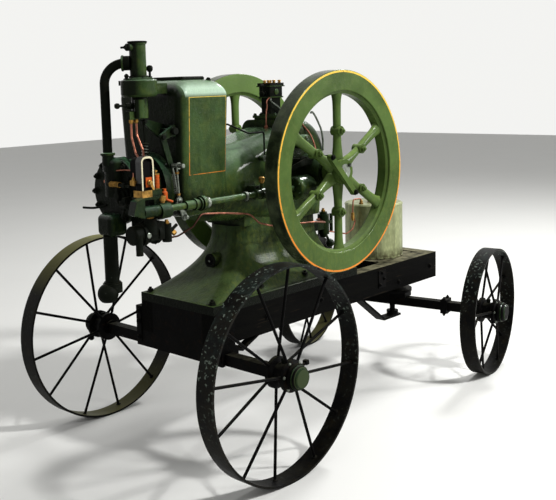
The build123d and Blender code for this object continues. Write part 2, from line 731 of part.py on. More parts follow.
# Thin pipes and rods
line_y = -213.0
near_line = bent_rod(
    [
        (-229.7, pump_y - 32, 1018),
        (-190, pump_y - 32, 1018),
        (-120, line_y, 1050),
        (-70, line_y, 1098),
        (41, line_y, 1088),
        (232, line_y, 1061),
        (290, line_y, 1012),
        (380, line_y, 985),
        (700, line_y, 962),
        (neck_back + 10, -150, 932),
        (neck_back + 28, feed_y, 938),
        (feed_x - 30.2, feed_y, 938),
    ],
    [30, 30, 30, 100, 100, 100, 150, 60, 20, 12],
    4,
)
tank_line = bent_rod(
    [
        (tank_x - 119, 0, tank_top + 0.1),
        (tank_x - 119, 0, tank_top + 30),
        (1300, 0, tank_top + 34),
        (1294, 0, 905),
        (1318, 0, 865),
        (1290, 0, 822),
        (1220, -10, 808),
        (1040, -10, 850),
        (feed_x, -10, 880),
        (feed_x, feed_y + 30.2, 880),
    ],
    16,
    4,
)
save("fuel_line", Compound(children=near_line.solids() + tank_line.solids()))
rod = bent_rod(
    [
        (hopper_back + 11.1, -150, 1466),
        (hopper_back + 48, -150, 1466),
        (262, -190, 1421),
        (rod_boss[0], -190, 1421),
        (rod_boss[0], -190, rod_boss[2] + 12),
    ],
    12,
    4,
)
save("governor_rod", rod)
pipe_top = bowl_low - 94.1
feed_r = 4.5
feed_end = magneto_z + 114.4
first_line = [
    (-347, -110, pipe_top),
    (-347, -110, 1440),
    (-362, -150, 1376),
    (magneto_x - 9, -184, 1362),
    (magneto_x - 9, -184, feed_end),
]
second_line = [
    (-321, -112, pipe_top),
    (-321, -112, 1450),
    (-316, -140, 1386),
    (magneto_x + 17, -184, 1362),
    (magneto_x + 17, -184, feed_end),
]
first = bent_rod(first_line, 6, feed_r)
second = bent_rod(second_line, 6, feed_r)
save("mixer_fuel_pipe", Compound(children=first.solids() + second.solids()))
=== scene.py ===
import json
import math

import bmesh
import bpy
from bpy.props import FloatProperty, FloatVectorProperty, PointerProperty
from mathutils import Matrix, Vector
from mathutils.bvhtree import BVHTree


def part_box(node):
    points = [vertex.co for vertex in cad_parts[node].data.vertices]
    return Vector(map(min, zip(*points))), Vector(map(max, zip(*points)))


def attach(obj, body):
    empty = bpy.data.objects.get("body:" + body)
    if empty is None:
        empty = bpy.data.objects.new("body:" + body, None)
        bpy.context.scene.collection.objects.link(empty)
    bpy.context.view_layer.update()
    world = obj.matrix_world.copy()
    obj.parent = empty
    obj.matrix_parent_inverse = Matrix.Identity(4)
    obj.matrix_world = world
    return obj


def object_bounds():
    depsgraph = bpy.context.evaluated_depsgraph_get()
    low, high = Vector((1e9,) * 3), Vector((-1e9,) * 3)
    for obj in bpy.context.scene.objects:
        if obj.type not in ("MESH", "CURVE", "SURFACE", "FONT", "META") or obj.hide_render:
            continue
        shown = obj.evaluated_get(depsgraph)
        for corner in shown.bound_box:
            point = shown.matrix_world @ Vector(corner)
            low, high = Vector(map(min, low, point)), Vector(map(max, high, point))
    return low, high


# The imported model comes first, because every size and place below is taken from it.
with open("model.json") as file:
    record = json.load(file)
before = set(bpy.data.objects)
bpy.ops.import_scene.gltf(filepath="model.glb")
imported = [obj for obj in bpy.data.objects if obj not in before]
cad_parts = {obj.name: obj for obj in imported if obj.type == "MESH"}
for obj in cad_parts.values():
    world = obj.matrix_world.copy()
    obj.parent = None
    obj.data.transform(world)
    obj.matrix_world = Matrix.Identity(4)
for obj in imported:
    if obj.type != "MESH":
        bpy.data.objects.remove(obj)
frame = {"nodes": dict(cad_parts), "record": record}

bl_info = {
    "name": "Hopper-cooled engine on its truck",
    "version": (1, 0, 0),
    "blender": (4, 5, 0),
    "location": "3D View > Sidebar > Engine",
    "description": "Paints an engine on a four-wheel truck and adds its small fittings",
    "category": "Add Mesh",
}

MM = 0.001


def linear(colour):
    """Three screen channels, 0 to 255, as a linear colour. A flow or a linear colour stays as it is."""
    if isinstance(colour, Flow) or len(colour) == 4:
        return colour
    shares = []
    for channel in colour:
        share = channel / 255
        shares.append(share / 12.92 if share <= 0.04045 else ((share + 0.055) / 1.055) ** 2.4)
    return (*shares, 1.0)


def middle(node):
    low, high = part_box(node)
    return (low + high) / 2


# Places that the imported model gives, in metres
low_corner, high_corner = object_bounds()
crank = middle("flywheel_near")
flywheel_low, flywheel_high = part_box("flywheel_near")
flywheel_r = (flywheel_high.x - flywheel_low.x) / 2
big_axle = middle("big_wheel_near_tyre")
small_axle = (middle("small_wheel_near_tyre") + middle("small_wheel_far_tyre")) / 2
sill_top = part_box("near_sill")[1].z
# The small wheels' axle rests this far off straight
steer_rest = math.radians(10)


def at(x, y, z):
    """A point given in millimetres from the big-wheel axle, the middle plane and the ground."""
    return Vector((big_axle.x + x * MM, y * MM, z * MM))


def spot(place):
    """A place in metres, from a vector in metres or from the three millimetres that at() takes."""
    return at(*place) if isinstance(place, tuple) else place


def steered(x, y, z):
    """A point given in millimetres from the steered axle's pin, along and across its axle."""
    turn = Matrix.Rotation(steer_rest, 3, "Z")
    place = turn @ Vector((x * MM, y * MM, 0))
    return Vector((small_axle.x + place.x, place.y, z * MM))


class Flow:
    """A number, vector or shape on its way through a node tree, which takes part in Python's sums."""

    def __init__(self, graph, socket):
        self.graph = graph
        self.socket = socket

    def __add__(self, other):
        return self.graph.maths("ADD", self, other)

    def __sub__(self, other):
        return self.graph.maths("SUBTRACT", self, other)

    def __rsub__(self, other):
        return self.graph.maths("SUBTRACT", other, self)

    def __mul__(self, other):
        return self.graph.maths("MULTIPLY", self, other)

    def __pow__(self, other):
        return self.graph.maths("POWER", self, other)

    def __gt__(self, other):
        return self.graph.maths("GREATER_THAN", self, other)

    def __lt__(self, other):
        return self.graph.maths("LESS_THAN", self, other)

    def __abs__(self):
        return self.graph.maths("ABSOLUTE", self)

    __radd__ = __add__
    __rmul__ = __mul__


class Graph:
    """Nodes joined in one tree, a material's or a recipe's."""

    def __init__(self, tree):
        self.tree = tree

    def feed(self, socket, value):
        for one in value if isinstance(value, list) else [value]:
            if isinstance(one, Flow):
                self.tree.links.new(one.socket, socket)
            else:
                socket.default_value = one

    def node(self, kind, settings, inputs, output=0):
        """A node with its settings and inputs, and the flow that leaves it."""
        made = self.tree.nodes.new(kind)
        for key, value in settings.items():
            setattr(made, key, value)
        for key, value in inputs.items():
            self.feed(made.inputs[key], value)
        return Flow(self, made.outputs[output])

    def maths(self, operation, first, second=None):
        inputs = {0: first}
        if second is not None:
            inputs[1] = second
        return self.node("ShaderNodeMath", {"operation": operation}, inputs)


class Finish(Graph):
    """One material, built node by node on a Principled surface whose shade takes coat on coat."""

    def __init__(self, name):
        self.material = bpy.data.materials.new(name)
        self.material.use_nodes = True
        super().__init__(self.material.node_tree)
        self.tree.nodes.clear()
        self.surface = self.tree.nodes.new("ShaderNodeBsdfPrincipled")
        output = self.tree.nodes.new("ShaderNodeOutputMaterial")
        self.tree.links.new(self.surface.outputs[0], output.inputs[0])
        coordinates = self.tree.nodes.new("ShaderNodeTexCoord")
        self.where = Flow(self, coordinates.outputs["Object"])
        self.x, self.y, self.z = self.parts(self.where)
        self.faces_x, self.faces_y, self.faces_z = self.parts(Flow(self, coordinates.outputs["Normal"]))

    def parts(self, vector):
        split = self.tree.nodes.new("ShaderNodeSeparateXYZ")
        self.feed(split.inputs[0], vector)
        return [Flow(self, share) for share in split.outputs]

    def between(self, value, low, high):
        """0 at low and below, 1 at high and above, and straight between."""
        settings = {"clamp": True}
        return self.node("ShaderNodeMapRange", settings, {"Value": value, "From Min": low, "From Max": high})

    def mix(self, factor, first, second):
        colours = {0: factor, 6: linear(first), 7: linear(second)}
        return self.node("ShaderNodeMix", {"data_type": "RGBA"}, colours, 2)

    def coat(self, mask, colour):
        """Lays a colour over the shade where the mask is 1."""
        self.shade = self.mix(mask, self.shade, colour)

    def stretched(self, scale):
        if scale is None:
            return self.where
        return self.node("ShaderNodeMapping", {}, {"Vector": self.where, "Scale": scale})

    def noise(self, scale, detail=3.0, roughness=0.55, stretch=None):
        inputs = {"Vector": self.stretched(stretch), "Scale": scale, "Detail": detail, "Roughness": roughness}
        return self.node("ShaderNodeTexNoise", {}, inputs)

    def blots(self, low, high, *noise):
        """Blots of noise: 0 where it is at low, 1 where it is at high."""
        return self.between(self.noise(*noise), low, high)

    def cells(self, scale, stretch=None):
        return self.node("ShaderNodeTexVoronoi", {}, {"Vector": self.stretched(stretch), "Scale": scale})

    def bump(self, height, depth, strength, under=None):
        inputs = {"Height": height, "Distance": depth, "Strength": strength}
        if under is not None:
            inputs["Normal"] = under
        return self.node("ShaderNodeBump", {}, inputs)

    def corners(self, reach):
        """1 in the open, falling towards 0 in corners narrower than reach."""
        return self.node("ShaderNodeAmbientOcclusion", {"samples": 8}, {"Distance": reach}, "AO")

    def upward(self, low, high):
        """1 on faces that look up, where dust lies and the sky is met."""
        return self.between(self.faces_z, low, high)

    def set(self, **inputs):
        for key, value in inputs.items():
            name = key.replace("_", " ").title().replace("Ior", "IOR")
            self.feed(self.surface.inputs[name], value)
        return self.material


# Faces that look forward are darkened here as painted shade, fading over this span of x
front_shade_span = (at(-40, 0, 0).x, at(-110, 0, 0).x)
# The edge of the base's foot is darkened too as painted shade, below this span of z
foot_shade_span = (0.698, 0.692)


def enamel(name, colour, dust_and_sky_sheen, gloss=0.15, oil_and_corner_shade=0.75, cast=0.6, runs=0.5, patchy=0.6, mark=None, gleam=0.6):
    """Old gloss enamel on an iron casting: uneven colour, oil and painted shade in corners and on forward
    faces, dust and painted sky light on top faces, and a cast skin below.
    """
    f = Finish(name)
    f.shade = colour = linear(colour)
    dark = (*(c * 0.3 for c in colour[:3]), 1)
    olive = (colour[0] * 1.9, colour[1] * 1.35, colour[2] * 0.8, 1)
    patch = f.noise(26, 5, 0.65)
    f.coat(f.blots(0.38, 0.68, 7, 4) * min(1.0, 0.3 + patchy), dark)
    f.coat(f.between(patch, 0.45, 0.8) * patchy, olive)
    f.coat(f.blots(0.5, 0.72, 30, 4, 0.6, (1, 1, 0.16)) * runs, dark)
    rough_wall = (abs(f.faces_y) > 0.5) * f.between(f.z, 1.3, 1.15) * patchy
    f.coat(f.blots(0.5, 0.62, 48, 4, 0.7, (1, 1, 0.45)) * rough_wall, olive)
    # Painted sky reflection, partly dust: faces that look up are lightened, more so higher up
    up = f.upward(0.2, 0.9) * (0.25 + f.between(f.z, 0.75, 1.4) * 0.6)
    f.coat(up * (0.5 + f.between(patch, 0.3, 0.7) * 0.5), dust_and_sky_sheen)
    # Painted shade: the edge of the base's foot and the faces that look forward turn nearly black
    foot = f.between(f.z, *foot_shade_span) * (1 - f.upward(0.5, 0.8)) * (abs(f.y) < 0.5)
    front_shade = f.between(f.faces_x * -1, 0.55, 0.8) * f.between(f.x, *front_shade_span) * 0.9
    f.coat(f.maths("MAXIMUM", foot, front_shade), (9, 13, 7))
    if mark is not None:
        mark(f)
    # Oil laid along an occlusion mask: partly oil, partly painted shade in the corners
    oil = f.between((1 - f.corners(0.06)) * 1.5 + f.noise(55, 4) * 0.5, 0.36, 0.9) * oil_and_corner_shade
    f.coat(oil, (8, 9, 5))
    speck = f.noise(240, 2)
    f.coat(f.between(speck, 0.70, 0.74) * f.between(patch, 0.52, 0.62), (40, 32, 24))
    rough = gloss + f.between(patch, 0.4, 0.9) * 0.22 + oil * 0.12
    skin = f.bump(speck, 0.0004, 0.4, f.bump(f.noise(60, 5, 0.7), 0.006, cast))
    sheen = f.upward(0.1, 0.75) * gleam
    return f.set(
        base_color=f.shade, roughness=rough, normal=skin, specular_ior_level=0.04, coat_weight=sheen,
        coat_roughness=0.12)


def darkened_first_run(f):
    """The fuel line's first run, under the pump, darkened nearly to black."""
    ahead = f.between(f.x, at(20, 0, 0).x, at(-90, 0, 0).x)
    f.coat(ahead * f.between(f.z, 1.2, 1.15) * 0.9, (12, 10, 8))


def plain_metal(name, colour, roughness, tint, mark=None):
    """Bare metal with handling marks, a dark film, and painted shade in its corners."""
    f = Finish(name)
    f.shade = linear(colour)
    film = f.blots(0.42, 0.75, 45, 5, 0.6) * 0.85
    f.coat(film, tint)
    # Painted shade: corners darkened along an occlusion mask
    f.coat(f.between(1 - f.corners(0.02), 0.25, 0.8) * 0.7, tint)
    if mark is not None:
        mark(f)
    scratch = f.noise(700, 2, 0.5, (1, 1, 0.05))
    rough = roughness + film * 0.4 + f.between(scratch, 0.4, 0.8) * 0.1
    return f.set(base_color=f.shade, metallic=1.0, roughness=rough, normal=f.bump(scratch, 0.0002, 0.2))


def magnet_steel(name):
    """A magnet blacked all over but for its ground end faces."""
    f = Finish(name)
    ground = abs(f.faces_y) > 0.7
    scratch = f.noise(500, 2, 0.5, (0.05, 1, 1))
    f.shade = f.mix(f.blots(0.4, 0.7, 40, 4), (12, 13, 14), (34, 36, 38))
    f.coat(ground, f.mix(f.between(scratch, 0.3, 0.7), (222, 216, 186), (178, 170, 140)))
    rough = 0.3 + f.between(scratch, 0.4, 0.8) * 0.12
    skin = f.bump(scratch, 0.0002, 0.2)
    return f.set(base_color=f.shade, metallic=ground * 0.9, roughness=rough, normal=skin)


def zinc_sheet(name):
    """Galvanised sheet gone olive: crystals, dark runs down the wall and a rust patch at the foot."""
    f = Finish(name)
    runs = f.noise(24, 5, 0.65, (1, 1, 0.07))
    f.shade = f.mix(f.between(f.cells(70, (1, 1, 0.5)), 0.1, 0.6), (160, 166, 122), (140, 146, 106))
    f.coat(f.blots(0.4, 0.7, 9, 4) * 0.35, (104, 110, 70))
    f.coat(f.between(runs, 0.5, 0.66) * 0.45, (40, 40, 26))
    f.coat(f.between(f.z, sill_top + 0.06, sill_top) * f.blots(0.35, 0.6, 40, 4), (58, 44, 26))
    rough = 0.34 + f.between(runs, 0.4, 0.7) * 0.25
    skin = f.bump(f.noise(16, 3), 0.004, 0.35)
    return f.set(base_color=f.shade, metallic=0.75, roughness=rough, normal=skin)


def black_iron(name, rust, worn, dust, base=(3, 3, 3)):
    """Black-painted iron: rust, dust, paint worn through in specks, and greener ends on the axles."""
    f = Finish(name)
    cloud = f.noise(14, 5, 0.6)
    f.shade = f.mix(f.between(cloud, 0.42, 0.75) * 0.7, base, tuple(c + 12 for c in base))
    f.coat(f.blots(0.55, 0.75, 38, 6, 0.7) * rust, (46, 31, 18))
    f.coat(f.between(f.cells(60), 0.22, 0.12) * f.blots(0.55, 0.62, 14, 3) * worn, (170, 174, 166))
    f.coat((abs(f.y) > 0.69) * (abs(f.faces_y) > 0.7), (50, 60, 38))
    f.coat(f.upward(0.6, 0.98) * f.blots(0.35, 0.65, 30, 4) * dust, (92, 90, 74))
    rough = 0.42 + f.between(cloud, 0.3, 0.8) * 0.25
    skin = f.bump(f.noise(120, 4, 0.6), 0.0014, 0.35)
    return f.set(base_color=f.shade, roughness=rough, normal=skin, specular_ior_level=0.03)


def tyre_iron(name):
    """Black tyre: pale flecks and a painted grey sheen on the near side, rust, and painted sunlight on the
    far side's tread.
    """
    f = Finish(name)
    cloud = f.noise(10, 5, 0.6)
    f.shade = f.mix(f.between(cloud, 0.42, 0.7), (4, 4, 4), (20, 19, 14))
    near = f.between(f.y, 0.0, -0.5)
    fleck = f.blots(0.6, 0.68, 70, 2, 0.5) * f.blots(0.42, 0.6, 5, 3)
    fleck = fleck * (0.06 + near * f.between(f.z, 0.3, 0.65) * 0.7)
    f.coat(fleck, (132, 146, 134))
    # Painted sheen: a grey-green gleam on the upper near side
    f.coat(f.blots(0.45, 0.65, 24, 4) * near * f.between(f.z, 0.5, 0.8) * 0.6, (34, 44, 40))
    f.coat(f.blots(0.52, 0.7, 30, 6, 0.7) * 0.25, (44, 36, 18))
    # Painted sunlight: the far side's tread is lightened where it looks up, most near the top
    lit = f.maths("MAXIMUM", f.between(f.z, 0.5, 0.85), f.between(f.z, 0.3, 0.1) * 0.4)
    f.coat(f.upward(0.5, 0.98) * f.between(f.y, 0.3, 0.5) * lit * 0.8, (132, 130, 78))
    rough = 0.42 + f.between(cloud, 0.3, 0.8) * 0.2 - fleck * 0.1
    skin = f.bump(f.noise(90, 4, 0.65), 0.002, 0.5)
    return f.set(base_color=f.shade, roughness=rough, normal=skin, specular_ior_level=0.06)


def painted_timber(name):
    """Timber under black paint, with its grain raised, its cracks pale and its top lightened, partly by dust
    and partly as painted sunlight.
    """
    f = Finish(name)
    grain = f.noise(60, 5, 0.6, (0.06, 1, 1))
    crack = f.noise(150, 3, 0.5, (0.03, 1, 1))
    f.shade = f.mix(f.between(grain, 0.35, 0.75), (2, 2, 2), (8, 8, 6))
    f.coat(f.between(crack, 0.66, 0.74) * 0.5, (50, 41, 30))
    # Faces that look up are lightened: partly dust, partly painted sunlight
    f.coat(f.upward(0.7, 0.98) * f.blots(0.3, 0.6, 18, 4) * 0.8, (124, 120, 96))
    skin = f.bump(grain + crack * 0.6, 0.002, 0.5)
    return f.set(base_color=f.shade, roughness=0.5 + grain * 0.2, normal=skin, specular_ior_level=0.02)


def flywheel_mark(f):
    """A yellow line at the edge of each outer face, painted light on the inner faces, and a dark, oily tread.
    """
    across, up = f.x - crank.x, f.z - crank.z
    radius = (across * across + up * up) ** 0.5
    ragged = radius + f.noise(90, 2) * 0.0015
    line = (ragged > flywheel_r - 0.0115) * (ragged < flywheel_r - 0.003)
    outward = f.y * f.faces_y
    flat = abs(f.faces_y) > 0.7
    # Painted light: the inner faces are lightened
    f.coat((outward < -0.2) * (abs(f.faces_y) > 0.5) * 0.35, (112, 142, 74))
    yellow = f.mix(f.between(up, -0.3, 0.3), (206, 122, 44), (218, 178, 70))
    f.coat(line * ((outward > 0.2) * flat) * f.blots(0.75, 0.6, 60, 3), yellow)
    worn = f.mix(f.blots(0.4, 0.65, 14, 4), (16, 18, 20), (62, 70, 50))
    f.coat((radius > flywheel_r - 0.004) * (1 - flat) * 0.9, worn)


def hopper_line(f):
    """A thin border on the hopper's near side, yellow above and orange below, and a painted highlight on its
    crown.
    """
    middle_z, half_x, half_z = 1.43, 0.11, 0.163
    across, up = f.x - at(-2, 0, 0).x, f.z - middle_z
    out_x = abs(abs(across) - half_x) < 0.0016
    out_z = abs(abs(up) - half_z) < 0.0015
    inside = (abs(across) < half_x + 0.0016) * (abs(up) < half_z + 0.0015)
    line = f.maths("MAXIMUM", out_x, out_z) * inside * (f.faces_y < -0.6)
    # Painted highlight: a pale band along the crown's near edge
    crown = f.between(up, 0.162, 0.18) * f.between(up, 0.23, 0.2) * (abs(across) < 0.13)
    crown = crown * f.between(f.faces_y, -0.1, -0.5) * (f.y < -0.15)
    f.coat(crown * 0.7, (188, 214, 190))
    gold = f.mix(f.between(up, -0.12, 0.16), (196, 116, 40), (206, 176, 74))
    f.coat(line * f.blots(0.72, 0.5, 50, 3) * 0.85, gold)


def make_finishes():
    """Every material of the record, by its slot name, and the few that the fittings add."""
    return {
        "engine_green": enamel("Engine green", (54, 74, 40), (112, 146, 108), mark=hopper_line),
        # Head green is the engine green darkened: partly grease, partly painted shade on the parts at the
        # front of the engine
        "head_green": enamel("Head green", (30, 46, 26), (66, 104, 76), 0.18),
        "base_green": enamel("Base green", (52, 70, 38), (100, 116, 70), 0.3, runs=0.9, gleam=0.12),
        "flywheel_green": enamel(
            "Flywheel green", (72, 93, 46), (146, 176, 92), 0.2, 0.45, 0.12, 0.0, 0.2, flywheel_mark, 0.3),
        "truck_black": black_iron("Truck black", 0.3, 0.0, 0.25),
        "sill_wood": painted_timber("Painted timber"),
        "tank_zinc": zinc_sheet("Zinc"),
        "copper": plain_metal("Copper", (160, 104, 84), 0.34, (46, 26, 20), darkened_first_run),
        "magnet_plate": magnet_steel("Magnet steel"),
        "magneto_black": black_iron("Magneto case", 0.0, 0.0, 0.1),
        "coil_orange": enamel(
            "Varnished winding", (190, 88, 36), (206, 116, 60), 0.3, 0.4, 0.1, 0.0, 0.2),
        "brass": plain_metal("Brass", (164, 126, 64), 0.36, (30, 24, 12)),
        "bright_steel": plain_metal("Bright steel", (128, 134, 124), 0.32, (14, 15, 12)),
        "oily_iron": black_iron("Oily iron", 0.25, 0.05, 0.2, (10, 13, 8)),
        "tyre": tyre_iron("Tyre iron"),
    }


finishes = {}

# Parts whose finish differs from their slot's, most of them darker, partly with oil and partly as painted
# shade
LOOKS = {
    "base_pedestal": "base_green",
    "cylinder_head": "head_green",
    "feed_pump": "head_green",
    "fuel_pump": "oily_iron",
    "intake_valve_housing": "head_green",
    "rocker_levers": "head_green",
    "side_shaft_housing": "head_green",
}

# Faces that meet at more degrees than this keep a sharp edge
SHARP_FROM = 35

ENGINE = "engine_and_truck"
LEFT = (-1, 0, 0)
RIGHT = (1, 0, 0)
NEAR = (0, -1, 0)
FAR = (0, 1, 0)
UP = (0, 0, 1)
DOWN = (0, 0, -1)


def keep(piece, body, slot, finish=None):
    """Finishes a piece's shading and hands it to the body that it rides on."""
    mesh = piece.data
    mesh.materials.clear()
    mesh.materials.append(finishes[finish or slot])
    mesh.shade_smooth()
    mesh.set_sharp_from_angle(angle=math.radians(SHARP_FROM))
    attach(piece, body)


class Recipe(Graph):
    """One Geometry Nodes tree, with named inputs, that sets a fitting on marked points."""

    def __init__(self, name, sizes):
        super().__init__(bpy.data.node_groups.new(name, "GeometryNodeTree"))
        doors = self.tree.interface
        doors.new_socket("Geometry", in_out="INPUT", socket_type="NodeSocketGeometry")
        for label, value in sizes.items():
            kind = "NodeSocketInt" if isinstance(value, int) else "NodeSocketFloat"
            door = doors.new_socket(label, in_out="INPUT", socket_type=kind)
            door.default_value = value
        doors.new_socket("Material", in_out="INPUT", socket_type="NodeSocketMaterial")
        doors.new_socket("Geometry", in_out="OUTPUT", socket_type="NodeSocketGeometry")
        self.entry = self.tree.nodes.new("NodeGroupInput")

    def given(self, label):
        return Flow(self, self.entry.outputs[label])

    def slice(self, sides, low_r, high_r, depth, height):
        """A slice of a cone that starts at one height above the seat."""
        inputs = {"Vertices": sides, "Radius Bottom": low_r, "Radius Top": high_r, "Depth": depth}
        cone = self.node("GeometryNodeMeshCone", {}, inputs)
        lift = self.node("ShaderNodeCombineXYZ", {}, {"Z": height})
        return self.node("GeometryNodeTransform", {}, {"Geometry": cone, "Translation": lift})

    def end(self, shape):
        """Sets the shape on every marked point, turned as the point says, and closes the tree."""
        mark = "GeometryNodeInputNamedAttribute"
        facing = self.node(mark, {"data_type": "FLOAT_VECTOR"}, {"Name": "facing"})
        size = self.node(mark, {"data_type": "FLOAT"}, {"Name": "size"})
        turn = self.node("FunctionNodeAlignRotationToVector", {"axis": "Z"}, {"Vector": facing})
        chance = {2: 0.0, 3: math.tau, 8: self.given("Seed")}
        angle = self.node("FunctionNodeRandomValue", {"data_type": "FLOAT"}, chance, 1)
        spin = self.node("FunctionNodeAxisAngleToRotation", {}, {"Axis": (0, 0, 1), "Angle": angle})
        both = {"Rotation": turn, "Rotate By": spin}
        turned = self.node("FunctionNodeRotateRotation", {"rotation_space": "LOCAL"}, both)
        inputs = {"Points": self.given("Geometry"), "Instance": shape, "Rotation": turned, "Scale": size}
        copies = self.node("GeometryNodeInstanceOnPoints", {}, inputs)
        real = self.node("GeometryNodeRealizeInstances", {}, {"Geometry": copies})
        painted = {"Geometry": real, "Material": self.given("Material")}
        result = self.node("GeometryNodeSetMaterial", {}, painted)
        way_out = self.tree.nodes.new("NodeGroupOutput")
        self.tree.links.new(result.socket, way_out.inputs[0])
        return self


def nut_recipe():
    """A washer, a six-sided nut with a chamfer, and the end of its stud. The nut's corner is 1 out."""
    sizes = {"Washer": 0.14, "Nut": 0.75, "Stud": 0.3, "Sides": 6, "Seed": 4}
    r = Recipe("Nut on a stud", sizes)
    washer, nut, stud, sides = (r.given(label) for label in ("Washer", "Nut", "Stud", "Sides"))
    chamfer = 0.1
    pieces = [
        r.slice(20, 1.3, 1.25, washer, 0.0),
        r.slice(sides, 1.0, 1.0, nut, washer),
        r.slice(sides, 1.0, 0.84, chamfer, washer + nut),
        r.slice(12, 0.52, 0.52, stud, washer + nut + chamfer),
        r.slice(12, 0.52, 0.4, chamfer, washer + nut + stud + chamfer),
    ]
    return r.end(r.node("GeometryNodeJoinGeometry", {}, {"Geometry": pieces}))


def rivet_recipe():
    """A round head, half sunk, that stands 1 out and as high as given."""
    r = Recipe("Rivet head", {"Height": 0.6, "Seed": 7})
    ball = r.node("GeometryNodeMeshUVSphere", {}, {"Segments": 14, "Rings": 8, "Radius": 1.0})
    flat = r.node("ShaderNodeCombineXYZ", {}, {"X": 1.0, "Y": 1.0, "Z": r.given("Height")})
    return r.end(r.node("GeometryNodeTransform", {}, {"Geometry": ball, "Scale": flat}))


def spring_recipe():
    """A coil spring that stands on its point. Sizes are shares of its length."""
    r = Recipe("Coil spring", {"Turns": 9.0, "Coil": 0.12, "Wire": 0.018, "Seed": 1})
    sizes = {
        "Resolution": 16,
        "Rotations": r.given("Turns"),
        "Start Radius": r.given("Coil"),
        "End Radius": r.given("Coil"),
        "Height": 1.0,
    }
    line = r.node("GeometryNodeCurveSpiral", {}, sizes)
    ring = r.node("GeometryNodeCurvePrimitiveCircle", {}, {"Resolution": 8, "Radius": r.given("Wire")})
    wire = {"Curve": line, "Profile Curve": ring, "Fill Caps": True}
    return r.end(r.node("GeometryNodeCurveToMesh", {}, wire))


def grow(recipe, name, spots, slot, body=ENGINE, **values):
    """Runs a recipe on spots, each a place, a direction and a size in mm, and keeps a plain mesh."""
    mesh = bpy.data.meshes.new(name)
    mesh.from_pydata([tuple(spot(place)) for place, _, _ in spots], [], [])
    mesh.attributes.new("facing", "FLOAT_VECTOR", "POINT")
    mesh.attributes.new("size", "FLOAT", "POINT")
    for i, (_, direction, wide) in enumerate(spots):
        mesh.attributes["facing"].data[i].vector = Vector(direction).normalized()
        mesh.attributes["size"].data[i].value = wide * MM
    piece = bpy.data.objects.new(name, mesh)
    bpy.context.scene.collection.objects.link(piece)
    modifier = piece.modifiers.new("Recipe", "NODES")
    modifier.node_group = recipe.tree
    values["Material"] = finishes[slot]
    for door in recipe.tree.interface.items_tree:
        if door.in_out == "INPUT" and door.name in values:
            modifier[door.identifier] = values[door.name]
    graph = bpy.context.evaluated_depsgraph_get()
    made = bpy.data.meshes.new_from_object(piece.evaluated_get(graph), depsgraph=graph)
    if not made.polygons:
        raise RuntimeError(f"{name}: the recipe made nothing")
    piece.modifiers.clear()
    piece.data = made
    keep(piece, body, slot)


trees = {}


def land(nodes, start, aim):
    """Where a straight line first meets one of the nodes, and where the surface looks there."""
    best = None
    for node in nodes:
        if node not in trees:
            trees[node] = BVHTree.FromObject(frame["nodes"][node], bpy.context.evaluated_depsgraph_get())
        place, normal, _, far = trees[node].ray_cast(spot(start), Vector(aim).normalized())
        if place is not None and (best is None or far < best[2]):
            best = (place, normal, far)
    if best is None:
        raise RuntimeError(f"nothing to land on among {nodes} from {start}")
    return best[0], best[1]


